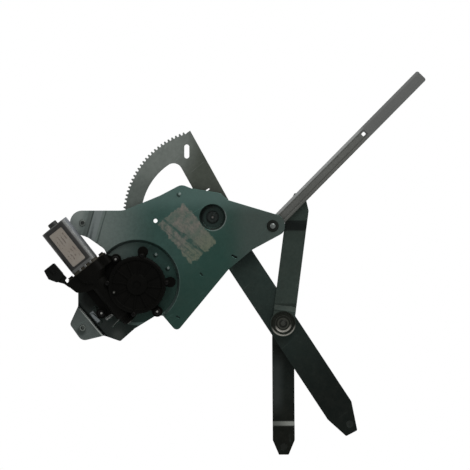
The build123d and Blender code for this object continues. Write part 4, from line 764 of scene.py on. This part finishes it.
def plate_paper(name, base):
    """The can's plate: pale face with a thin border, a few plain broken lines, scuffs and stains."""
    f = Finish(name, base, 0.0, 0.5, 0.3)
    w, centre = f.w, on_motor(*LABEL_AT)
    off = w.vector("SUBTRACT", w.place(), (centre[0] * MM, 0, centre[1] * MM))
    along, cross = (w.measure("DOT_PRODUCT", off, (x, 0, z)) for x, z in (ALONG, ACROSS))
    insets = [w.maths("SUBTRACT", side / 2, w.maths("ABSOLUTE", way))
              for side, way in ((sizes().label_length, along), (sizes().label_width, cross))]
    inset = w.maths("MINIMUM", *insets)
    border = w.both(w.step(inset, 0.0007, 0.0009), w.step(inset, 0.0014, 0.0012))
    line = w.maths("SUBTRACT", w.maths("FRACT", w.maths("DIVIDE", cross, LABEL_RULING * MM)), 0.5)
    fields = w.maths("MAXIMUM", *(w.band(along, low * MM, high * MM) for low, high in LABEL_FIELDS))
    rows = w.both(w.step(w.maths("ABSOLUTE", line), 0.24, 0.16), fields, w.step(inset, 0.0018, 0.0021),
                  w.step(w.noise(off, 300.0, 1.0), 0.47, 0.52))
    printed = w.maths("MAXIMUM", w.maths("MULTIPLY", border, 0.5), rows)
    rubbed = w.step(w.noise(off, 210.0, 6.0, 0.7), 0.62, 0.45)
    stain = f.effect("blotches", Scale=70.0, Spread=0.16)
    f.tint(stain["Mask"], srgb(100, 92, 84), 0.55)
    f.tint(w.both(printed, rubbed), srgb(66, 56, 52), 0.75)
    f.tint(f.effect("scratches", Scale=70.0, Width=0.012, Angle=-0.4)["Mask"], srgb(74, 72, 68), 0.5)
    f.tint(f.effect("edges", Radius=0.0004, Amount=0.8, Scale=300.0)["Mask"], srgb(70, 66, 60))
    f.roughness = w.blend(stain["Mask"], 0.42, 0.62)
    f.bump(stain["Cloud"], 0.00002)
    f.bump(w.maths("MULTIPLY", printed, -1.0), 0.00002)
    return f.done()


def dress(material, *nodes):
    """Gives CAD nodes one material."""
    for node in nodes:
        slots = NODES[node].data.materials
        slots.clear()
        slots.append(material)


def material_of(node):
    return NODES[node].data.materials[0]


# ---------------------------------------------------------------- geometry helpers
def hang(name, data, place=(0, 0, 0)):
    """Links an object for the data, at a place in metres."""
    holder = bpy.data.objects.new(name, data)
    holder.location = place
    bpy.context.scene.collection.objects.link(holder)
    return holder


def new_piece(name, mesh, body):
    """Links a finished mesh as a piece that rides on a body."""
    piece = hang(name, mesh)
    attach(piece, body)


def grow(name, tree, values, place):
    """Runs a geometry tree with the values given and returns its plain mesh, put in place."""
    host = hang(name + "_host", bpy.data.meshes.new(name + "_seed"))
    layout = host.modifiers.new("Layout", "NODES")
    layout.node_group = tree
    for item in tree.interface.items_tree:
        if item.item_type == "SOCKET" and item.in_out == "INPUT" and item.name in values:
            layout[item.identifier] = values[item.name]
    bpy.context.view_layer.update()
    mesh = bpy.data.meshes.new_from_object(host.evaluated_get(bpy.context.evaluated_depsgraph_get()))
    host.modifiers.remove(layout)
    bpy.data.objects.remove(host)
    mesh.name = name
    mesh.transform(place)
    if not mesh.polygons:
        raise RuntimeError(f"{name} came out empty")
    return mesh


def joined(name, meshes):
    """One mesh of several that share a material."""
    bm = bmesh.new()
    for mesh in meshes:
        bm.from_mesh(mesh)
    whole = bpy.data.meshes.new(name)
    bm.to_mesh(whole)
    bm.free()
    for material in meshes[0].materials:
        whole.materials.append(material)
    for mesh in meshes:
        bpy.data.meshes.remove(mesh)
    return whole


def bar_values(count, size, material, **more):
    """The values that the trees of bars ask for, from millimetres."""
    length, width, height = size
    values = {"Count": count, "Length": length * MM, "Width": width * MM, "Height": height * MM,
              "Material": material}
    return {**values, **{name: value * MM for name, value in more.items()}}


def layout_tree(title, **inputs):
    """An empty geometry tree with named inputs and a material, as (tree, wiring, inputs)."""
    tree = bpy.data.node_groups.new(title, "GeometryNodeTree")
    for name, default in inputs.items():
        kind = "NodeSocketInt" if isinstance(default, int) else "NodeSocketFloat"
        tree.interface.new_socket(name, in_out="INPUT", socket_type=kind).default_value = default
    tree.interface.new_socket("Material", in_out="INPUT", socket_type="NodeSocketMaterial")
    tree.interface.new_socket("Geometry", in_out="OUTPUT", socket_type="NodeSocketGeometry")
    w = Wiring(tree)
    return tree, w, w.put("NodeGroupInput").outputs


def close_layout(w, points, shape, material, rotation=(0, 0, 0)):
    """Sets the shape on the points, if there are any, and realizes, smooths and paints what comes of it."""
    if points:
        feeds = {"Points": points.outputs[0], "Instance": shape, "Rotation": rotation}
        shape = w.put("GeometryNodeInstanceOnPoints", feeds).outputs[0]
    real = w.put("GeometryNodeRealizeInstances", {0: shape}).outputs[0]
    smooth = w.put("GeometryNodeSetShadeSmooth", {"Geometry": real}).outputs[0]
    painted = w.put("GeometryNodeSetMaterial", {"Geometry": smooth, "Material": material}).outputs[0]
    w.put("NodeGroupOutput", {0: painted})


def rounded_bar(w, given):
    """A bar with rounded edges, about the origin."""
    size = w.combine(x=given["Length"], y=given["Width"], z=given["Height"])
    box = w.put("GeometryNodeMeshCube", {"Size": size, "Vertices X": 3, "Vertices Y": 3, "Vertices Z": 2})
    return w.put("GeometryNodeSubdivisionSurface", {"Mesh": box.outputs[0], "Level": 1,
                                                    "Edge Crease": 0.55}).outputs[0]


def bars_on_ring():
    """Bars set radially round a ring."""
    tree, w, given = layout_tree("Bars on a ring", Count=12, Radius=0.03, Length=0.004, Width=0.001,
                                 Height=0.001)
    ring = w.put("GeometryNodeMeshCircle", {"Vertices": given["Count"], "Radius": given["Radius"]})
    index = w.put("GeometryNodeInputIndex").outputs[0]
    angle = w.maths("MULTIPLY", w.maths("DIVIDE", index, given["Count"]), math.tau)
    close_layout(w, ring, rounded_bar(w, given), given["Material"], w.combine(z=angle))
    return tree


def bars_in_row():
    """Bars in a row along y."""
    tree, w, given = layout_tree("Bars in a row", Count=5, Pitch=0.002, Length=0.01, Width=0.001,
                                 Height=0.001)
    half = w.maths("MULTIPLY", w.maths("SUBTRACT", given["Count"], 1.0), -0.5)
    start = w.combine(y=w.maths("MULTIPLY", given["Pitch"], half))
    row = w.put("GeometryNodeMeshLine", {"Count": given["Count"], "Start Location": start,
                                         "Offset": w.combine(y=given["Pitch"])})
    close_layout(w, row, rounded_bar(w, given), given["Material"])
    return tree


def swept(w, path, radius, sides, caps=False):
    """A round bead run along a curve."""
    bead = w.put("GeometryNodeCurvePrimitiveCircle", {"Resolution": sides, "Radius": radius})
    return w.put("GeometryNodeCurveToMesh", {"Curve": path.outputs[0], "Profile Curve": bead.outputs[0],
                                             "Fill Caps": caps}).outputs[0]


def hoops_in_row():
    """Round hoops in a row along z."""
    tree, w, given = layout_tree("Hoops in a row", Count=5, Pitch=0.005, Radius=0.01, Thickness=0.0006,
                                 Sides=32)
    path = w.put("GeometryNodeCurvePrimitiveCircle", {"Resolution": given["Sides"],
                                                      "Radius": given["Radius"]})
    hoop = swept(w, path, given["Thickness"], 8)
    row = w.put("GeometryNodeMeshLine", {"Count": given["Count"], "Offset": w.combine(z=given["Pitch"])})
    close_layout(w, row, hoop, given["Material"])
    return tree


def thread_on_rod():
    """A screw thread: a ridge that climbs round a rod."""
    tree, w, given = layout_tree("Thread on a rod", Turns=3.0, Pitch=0.0008, Radius=0.0026, Ridge=0.0002)
    path = w.put("GeometryNodeCurveSpiral", {
        "Resolution": 20, "Rotations": given["Turns"], "Start Radius": given["Radius"],
        "End Radius": given["Radius"], "Height": w.maths("MULTIPLY", given["Turns"], given["Pitch"])})
    close_layout(w, None, swept(w, path, given["Ridge"], 6, True), given["Material"])
    return tree


def rounded_plate(name, length, width, thickness, corner, steps=6):
    """A thin plate with round corners, its rim softened, lying about the origin."""
    bm = bmesh.new()
    rings = []
    for inset, height in ((0, 0), (0, thickness * 0.6), (thickness * 0.8, thickness)):
        ring = []
        for quarter, (sx, sy) in enumerate(((1, 1), (-1, 1), (-1, -1), (1, -1))):
            for n in range(steps + 1):
                angle = math.pi / 2 * (quarter + n / steps)
                x = sx * (length / 2 - corner) + (corner - inset) * math.cos(angle)
                y = sy * (width / 2 - corner) + (corner - inset) * math.sin(angle)
                ring.append(bm.verts.new((x, y, height)))
        rings.append(ring)
    for low, high in zip(rings, rings[1:]):
        for n, vert in enumerate(low):
            m = (n + 1) % len(low)
            bm.faces.new((vert, low[m], high[m], high[n]))
    bm.faces.new(list(reversed(rings[0])))
    bm.faces.new(rings[-1])
    mesh = bpy.data.meshes.new(name)
    bm.to_mesh(mesh)
    bm.free()
    return mesh


# ---------------------------------------------------------------- operators: finishes
class REGULATOR_OT_base_plate(bpy.types.Operator):
    """Finish the base plate, with what is left of its sticker, and its ear nuts"""

    bl_idname = "regulator.base_plate"
    bl_label = "Base plate"

    def execute(self, context):
        base = colours().plate
        # drifts of painted light and shade: a pale grey painted sheen to the left, paler towards the upper
        # right, darker towards the bottom, paler at the lower-left tip
        drifts = (((1.0, 0.0, 0.0), 0.012, -0.075, srgb(84, 92, 89)),
                  ((0.9, 0.0, 0.42), 0.055, 0.145, srgb(60, 71, 67)),
                  ((0.2, 0.0, -0.98), 0.06, 0.135, srgb(38, 52, 48)),
                  ((-0.6, 0.0, -0.8), 0.135, 0.165, srgb(72, 78, 76)))
        dress(sheet_finish("zinc_sheet_plate", base, lighter(base, 0.84), angle=0.3, drifts=drifts,
                           marks=lambda f: (plate_marks(f), label_residue(f))), "base_plate")
        dress(hardware_finish("zinc_ear_nuts", srgb(88, 94, 90)), "ear_nuts")
        return {"FINISHED"}


class REGULATOR_OT_gear_sector(bpy.types.Operator):
    """Finish the gear sector and its rivets"""

    bl_idname = "regulator.gear_sector"
    bl_label = "Gear sector"

    def execute(self, context):
        base = colours().sector
        # drifts of painted light and shade: paler towards the top, darker towards the right
        drifts = (((0.0, 0.0, 1.0), 0.045, 0.085, srgb(90, 95, 91)),
                  ((0.95, 0.0, -0.32), 0.0, 0.04, srgb(58, 62, 56)))
        dress(sheet_finish("zinc_sector", base, lighter(base, 0.85), angle=1.1, drifts=drifts, blotch=20.0),
              "sector_gear")
        dress(hardware_finish("dark_rivets", srgb(52, 57, 54)), "sector_rivets")
        return {"FINISHED"}


class REGULATOR_OT_arms(bpy.types.Operator):
    """Finish the lift arm and both halves of the crossing arm"""

    bl_idname = "regulator.arms"
    bl_label = "Arms"

    def execute(self, context):
        lift, cross = colours().lift_arm, colours().cross_arm
        down = (0.553, 0.0, -0.833)
        # painted shade: the lift arm darkens towards its lower end
        dress(sheet_finish("dark_zinc_lift_arm", lift, lighter(lift, 0.8), angle=0.98, metallic=0.4,
                           drifts=((down, 0.14, 0.34, srgb(14, 18, 16)),), specular=0.05), "lift_arm")
        dress(sheet_finish("dark_zinc_cross_upper", cross, lighter(cross, 0.82), angle=-1.45, metallic=0.4,
                           specular=0.06, marks=upper_marks), "aux_arm_upper")
        # painted shade: the lower half of the crossing arm darkens towards the bottom
        dress(sheet_finish("dark_zinc_cross_lower", srgb(20, 25, 23), srgb(17, 20, 18), angle=1.57,
                           metallic=0.4, drifts=(((0, 0, -1.0), 0.2, 0.3, srgb(14, 16, 13)),),
                           specular=0.04, marks=lower_marks), "aux_arm_lower")
        return {"FINISHED"}


class REGULATOR_OT_guide_rail(bpy.types.Operator):
    """Finish the guide rail, its shoe and the pin in it"""

    bl_idname = "regulator.guide_rail"
    bl_label = "Guide rail"

    def execute(self, context):
        base = colours().rail
        dress(sheet_finish("rolled_zinc_rail", base, lighter(base, 0.86), angle=-0.786, blotch=34.0,
                           metallic=0.5, roughness=0.36, marks=rail_marks), "guide_rail")
        dress(moulded_finish("black_shoe", srgb(24, 24, 23), roughness=0.42), "guide_shoe")
        dress(turned_finish("guide_pin_steel", srgb(66, 68, 66), middle("guide_pin")), "guide_pin")
        return {"FINISHED"}


class REGULATOR_OT_pivots(bpy.types.Operator):
    """Finish the pivots, rivets, bushes, washers and rollers"""

    bl_idname = "regulator.pivots"
    bl_label = "Pivots and rollers"

    def execute(self, context):
        cross, lift, low = pivot("cross"), pivot("lift_roller_spin"), pivot("low_roller_spin")
        for node, name, shade, centre, values in (
                # the main stud's ring is a painted highlight at the middle of its head
                ("main_pivot_stud", "main_stud_steel", (25, 29, 28), HUB,
                 {"wear": 0.4, "specular": 0.1, "ring": (-1.0, 1.6, srgb(84, 80, 78))}),
                ("rail_pivot_rivet", "rail_rivet_steel", (74, 78, 76), pivot("rail_swing"), {}),
                ("cross_pivot_rivet", "cross_rivet_steel", (38, 39, 36), cross,
                 {"wear": 0.4, "specular": 0.1, "ring": (2.9, 5.4, srgb(12, 13, 12))}),
                ("aux_tip_rivet", "tip_rivet_steel", (58, 62, 59), middle("guide_pin"), {}),
                ("lift_stud", "lift_stud_steel", (24, 27, 25), lift, {"specular": 0.1}),
                ("low_stud", "low_stud_steel", (18, 20, 18), low, {"specular": 0.06, "wear": 0.3}),
                ("pivot_thrust_washer", "thrust_washer_steel", (60, 64, 62), HUB, {}),
                ("pivot_back_washer", "back_washer_steel", (64, 68, 66), HUB, {})):
            dress(turned_finish(name, srgb(*shade), centre, **values), node)
        dress(moulded_finish("black_rail_bush", srgb(20, 22, 20), roughness=0.4), "rail_pivot_bush")
        dress(sintered_finish("oiled_bronze", srgb(92, 78, 50)), "pivot_bush", "cross_pivot_bush")
        dress(moulded_finish("natural_nylon", srgb(158, 152, 134), roughness=0.42, specular=0.3, scuff=0.9),
              "lift_roller", "low_roller")
        return {"FINISHED"}


class REGULATOR_OT_motor(bpy.types.Operator):
    """Finish the motor can, its collar, bearings and screws"""

    bl_idname = "regulator.motor"
    bl_label = "Motor"

    def execute(self, context):
        base = colours().can
        dress(sheet_finish("drawn_can_steel", base, lighter(base, 0.82), angle=0.9, blotch=60.0, metallic=0.7,
                           roughness=0.33, specular=0.2, marks=can_marks), "motor_can")
        dress(hardware_finish("black_screws", srgb(8, 8, 8), specular=0.1, wear=0.5), "can_screws",
              "cover_screws")
        bright = dotted([on_motor(*place) for place in FIXINGS], 1.3, srgb(150, 150, 146))
        dress(hardware_finish("black_fixings", srgb(10, 10, 10), specular=0.1, wear=0.4, marks=bright),
              "mounting_screws")
        dress(hardware_finish("plated_screw", srgb(86, 88, 84)), "thrust_screw")
        dress(moulded_finish("khaki_collar", srgb(34, 32, 25), roughness=0.5, specular=0.1, scuff=1.25),
              "brush_holder")
        dress(sintered_finish("bearing_bronze", srgb(104, 88, 58)), "can_bearing", "worm_bearings",
              "output_bush")
        return {"FINISHED"}


class REGULATOR_OT_gear_housing(bpy.types.Operator):
    """Finish the gear housing, its cover and plug, and the connector"""

    bl_idname = "regulator.gear_housing"
    bl_label = "Gear housing"

    def execute(self, context):
        base = colours().plastic
        dress(moulded_finish("black_housing", base), "gear_housing")
        dress(moulded_finish("black_cover", lighter(base, 0.75), roughness=0.44), "gear_cover")
        bright = dotted([middle("cover_plug")], 1.0, srgb(78, 78, 74))
        dress(hardware_finish("plug_steel", srgb(14, 14, 13), specular=0.1, wear=0.3, marks=bright),
              "cover_plug")
        dress(moulded_finish("black_connector", srgb(12, 13, 12)), "connector_shell")
        dress(hardware_finish("tinned_brass", srgb(120, 112, 88)), "connector_terminals")
        return {"FINISHED"}


class REGULATOR_OT_inner_works(bpy.types.Operator):
    """Finish what turns inside the motor and the gear pot"""

    bl_idname = "regulator.inner_works"
    bl_label = "Inner works"

    def execute(self, context):
        shaft, round_shaft = (ALONG[0], 0.0, ALONG[1]), (ACROSS[0], 0.0, ACROSS[1])
        wound = (ACROSS[0], 0.35, ACROSS[1])
        for node, name, shade, dark, axis, pitch, values in (
                ("armature_shaft", "worm_steel", (140, 138, 132), (60, 56, 46), shaft, 0.0005,
                 {"metallic": 0.85, "roughness": 0.25, "depth": 0.0003}),
                ("armature_stack", "laminations", (104, 104, 102), (48, 46, 42), shaft, 0.00008,
                 {"metallic": 0.7, "roughness": 0.45}),
                ("armature_windings", "copper_wire", (176, 98, 52), (86, 40, 20), wound, 0.00014,
                 {"metallic": 0.8, "roughness": 0.3}),
                ("commutator", "commutator_copper", (186, 118, 70), (50, 34, 24), round_shaft, 0.0004,
                 {"metallic": 0.85, "roughness": 0.3})):
            dress(barred_finish(name, srgb(*shade), srgb(*dark), axis, pitch, **values), node)
        dress(sintered_finish("ferrite", srgb(46, 46, 48)), "magnets")
        dress(sintered_finish("carbon", srgb(36, 34, 32), metallic=0.2, roughness=0.4), "brushes")
        dress(moulded_finish("wheel_nylon", srgb(150, 142, 118), roughness=0.35, specular=0.35, scuff=0.85,
                             grit=600.0), "worm_wheel")
        dress(moulded_finish("damper_rubber", srgb(24, 24, 24), roughness=0.75, specular=0.2, grit=1600.0),
              "wheel_damper")
        dress(turned_finish("pinion_steel", srgb(112, 110, 104), MOTOR, metallic=0.75, roughness=0.28,
                            pitch=0.0003), "output_pinion")
        dress(hardware_finish("spring_clip", srgb(84, 86, 90)), "output_clip")
        return {"FINISHED"}


# ---------------------------------------------------------------- operators: pieces
class REGULATOR_OT_can_plate(bpy.types.Operator):
    """Stick the plain plate on the flat of the can"""

    bl_idname = "regulator.can_plate"
    bl_label = "Can plate"

    def execute(self, context):
        s = sizes()
        mesh = rounded_plate("can_plate", s.label_length, s.label_width, s.label_thickness, LABEL_CORNER * MM)
        mesh.transform(facing(on_motor(*LABEL_AT), WORM_Y - CAN_DEPTH / 2 + LABEL_GAP, WORM_ANGLE))
        mesh.materials.append(plate_paper("label_stock", colours().label))
        new_piece("can_plate", mesh, "plate")
        return {"FINISHED"}


class REGULATOR_OT_cover_ticks(bpy.types.Operator):
    """Mould the ticks round the gear cover's rim and the ribs round the pot"""

    bl_idname = "regulator.cover_ticks"
    bl_label = "Cover ticks and pot ribs"

    def execute(self, context):
        s = sizes()
        ring = bars_on_ring()
        values = bar_values(s.cover_ticks, TICK, material_of("gear_cover"), Radius=TICK_R)
        ticks = grow("cover_ticks", ring, values, facing(MOTOR, TICK_Y, WORM_ANGLE))
        new_piece("cover_ticks", ticks, "plate")
        rib = (2 * s.rib_height / MM, s.rib_width / MM, POT_RIB_RUN)
        values = bar_values(s.pot_ribs, rib, material_of("gear_housing"), Radius=POT_R)
        ribs = grow("pot_ribs", ring, values, facing(MOTOR, POT_RIB_Y, WORM_ANGLE))
        new_piece("pot_ribs", ribs, "plate")
        return {"FINISHED"}


class REGULATOR_OT_tube_rings(bpy.types.Operator):
    """Mould the rings along the worm tube"""

    bl_idname = "regulator.tube_rings"
    bl_label = "Tube rings"

    def execute(self, context):
        s = sizes()
        rings = grow("tube_rings", hoops_in_row(), {
            "Count": s.tube_rings, "Pitch": RING_PITCH * MM, "Radius": RING_R * MM,
            "Thickness": s.rib_height * 0.8, "Sides": RING_SIDES, "Material": material_of("gear_housing")},
            on_shaft(RING_START))
        new_piece("tube_rings", rings, "plate")
        return {"FINISHED"}


class REGULATOR_OT_connector_grip(bpy.types.Operator):
    """Mould the grip ribs on both faces of the connector"""

    bl_idname = "regulator.connector_grip"
    bl_label = "Connector grip"

    def execute(self, context):
        tree, angle = bars_in_row(), WORM_ANGLE + math.pi / 2
        values = bar_values(sizes().grip_ribs, GRIP, material_of("connector_shell"), Pitch=GRIP_PITCH)
        meshes = [grow("grip", tree, values, facing(on_motor(*GRIP_AT), y, angle))
                  for y in (WORM_Y - GRIP_Y, WORM_Y + GRIP_Y)]
        new_piece("connector_grip", joined("connector_grip", meshes), "plate")
        return {"FINISHED"}


class REGULATOR_OT_can_tabs(bpy.types.Operator):
    """Stake the can's tabs over its collar"""

    bl_idname = "regulator.can_tabs"
    bl_label = "Can tabs"

    def execute(self, context):
        tree, place = bars_in_row(), on_motor(CAN_OPEN + TAB_BACK, WORM_OFFSET)
        values = bar_values(sizes().can_tabs, TAB, material_of("motor_can"), Pitch=TAB_PITCH)
        meshes = [grow("tab", tree, values, facing(place, y, WORM_ANGLE))
                  for y in (WORM_Y - CAN_DEPTH / 2 + TAB_SUNK, WORM_Y + CAN_DEPTH / 2 - TAB_SUNK)]
        new_piece("can_tabs", joined("can_tabs", meshes), "plate")
        return {"FINISHED"}


class REGULATOR_OT_screw_threads(bpy.types.Operator):
    """Cut the threads on the tips of the motor's fixing screws"""

    bl_idname = "regulator.screw_threads"
    bl_label = "Screw threads"

    def execute(self, context):
        tree = thread_on_rod()
        values = {"Turns": THREAD_TURNS, "Pitch": sizes().thread_pitch, "Radius": THREAD_R * MM,
                  "Ridge": THREAD_RIDGE * MM, "Material": material_of("mounting_screws")}
        meshes = [grow("thread", tree, values, facing(on_motor(*place), THREAD_Y)) for place in FIXINGS]
        new_piece("screw_threads", joined("screw_threads", meshes), "plate")
        return {"FINISHED"}


class REGULATOR_OT_stage(bpy.types.Operator):
    """Lay the pale floor, hang the soft lamps, light the world and set the camera"""

    bl_idname = "regulator.stage"
    bl_label = "Stage"

    def execute(self, context):
        scene = context.scene
        # floor, below and just behind, out of the main view
        mesh = bpy.data.meshes.new("floor")
        mesh.from_pydata(FLOOR, [], [(0, 1, 2, 3)])
        pale = Finish("pale_floor", (0.8, 0.8, 0.8), 0.0, 0.9, 0.1)
        mottle = pale.w.noise(pale.w.place(), 6.0, 4.0)
        pale.colour = pale.w.mix(mottle, (0.80, 0.80, 0.79), (0.86, 0.86, 0.85))
        mesh.materials.append(pale.done())
        floor = hang("floor", mesh)
        # world: white behind, softer on the object
        world = scene.world = bpy.data.worlds.new("studio")
        world.use_nodes = True
        w = Wiring(world.node_tree)
        path = w.put("ShaderNodeLightPath").outputs
        seen = w.maths("MAXIMUM", w.maths("MAXIMUM", path["Is Camera Ray"], path["Is Glossy Ray"]),
                       path["Is Transmission Ray"])
        w.feed(world.node_tree.nodes["Background"], {"Color": (1.0, 1.0, 1.0, 1.0),
                                                     "Strength": w.blend(seen, WORLD_LIGHT, 1.0)})
        # lamps: a wide one above and in front, weak ones from both sides, one behind
        for name, place, width, power in LAMPS:
            lamp = bpy.data.lights.new(name, "AREA")
            lamp.shape, lamp.size, lamp.energy = "DISK", width, power
            aim = (LAMPS_AIM - Vector(place)).to_track_quat("-Z", "Y")
            hang(name, lamp, place).rotation_euler = aim.to_euler()
        # camera: square on to the plate
        camera = bpy.data.cameras.new("camera")
        camera.sensor_width = EYE_SENSOR
        camera.lens = EYE_SENSOR * -EYE[1] / EYE_SPAN
        eye = scene.camera = hang("camera", camera, EYE)
        eye.rotation_euler = (math.pi / 2, 0.0, 0.0)
        scene.view_settings.view_transform = "Standard"
        return {"FINISHED"}


OPERATORS = (
    REGULATOR_OT_base_plate, REGULATOR_OT_gear_sector, REGULATOR_OT_arms, REGULATOR_OT_guide_rail,
    REGULATOR_OT_pivots, REGULATOR_OT_motor, REGULATOR_OT_gear_housing, REGULATOR_OT_inner_works,
    REGULATOR_OT_can_plate, REGULATOR_OT_cover_ticks, REGULATOR_OT_tube_rings,
    REGULATOR_OT_connector_grip, REGULATOR_OT_can_tabs, REGULATOR_OT_screw_threads, REGULATOR_OT_stage,
)


class REGULATOR_PT_panel(bpy.types.Panel):
    """The regulator's steps and settings."""

    bl_label = "Window regulator"
    bl_idname = "REGULATOR_PT_panel"
    bl_space_type = "VIEW_3D"
    bl_region_type = "UI"
    bl_category = "Regulator"

    def draw(self, context):
        for settings in (context.scene.regulator_sizes, context.scene.regulator_colours):
            column = self.layout.column(align=True)
            for name in settings.__annotations__:
                column.prop(settings, name)
        for operator in OPERATORS:
            self.layout.operator(operator.bl_idname)


CLASSES = (RegulatorSizes, RegulatorColours, *OPERATORS, REGULATOR_PT_panel)


def register():
    for item in CLASSES:
        bpy.utils.register_class(item)
    bpy.types.Scene.regulator_sizes = bpy.props.PointerProperty(type=RegulatorSizes)
    bpy.types.Scene.regulator_colours = bpy.props.PointerProperty(type=RegulatorColours)


def unregister():
    del bpy.types.Scene.regulator_colours
    del bpy.types.Scene.regulator_sizes
    for item in reversed(CLASSES):
        bpy.utils.unregister_class(item)


def main():
    register()
    make_effects()
    for operator in OPERATORS:
        group, name = operator.bl_idname.split(".")
        getattr(getattr(bpy.ops, group), name)()


if __name__ == "__main__":
    main()
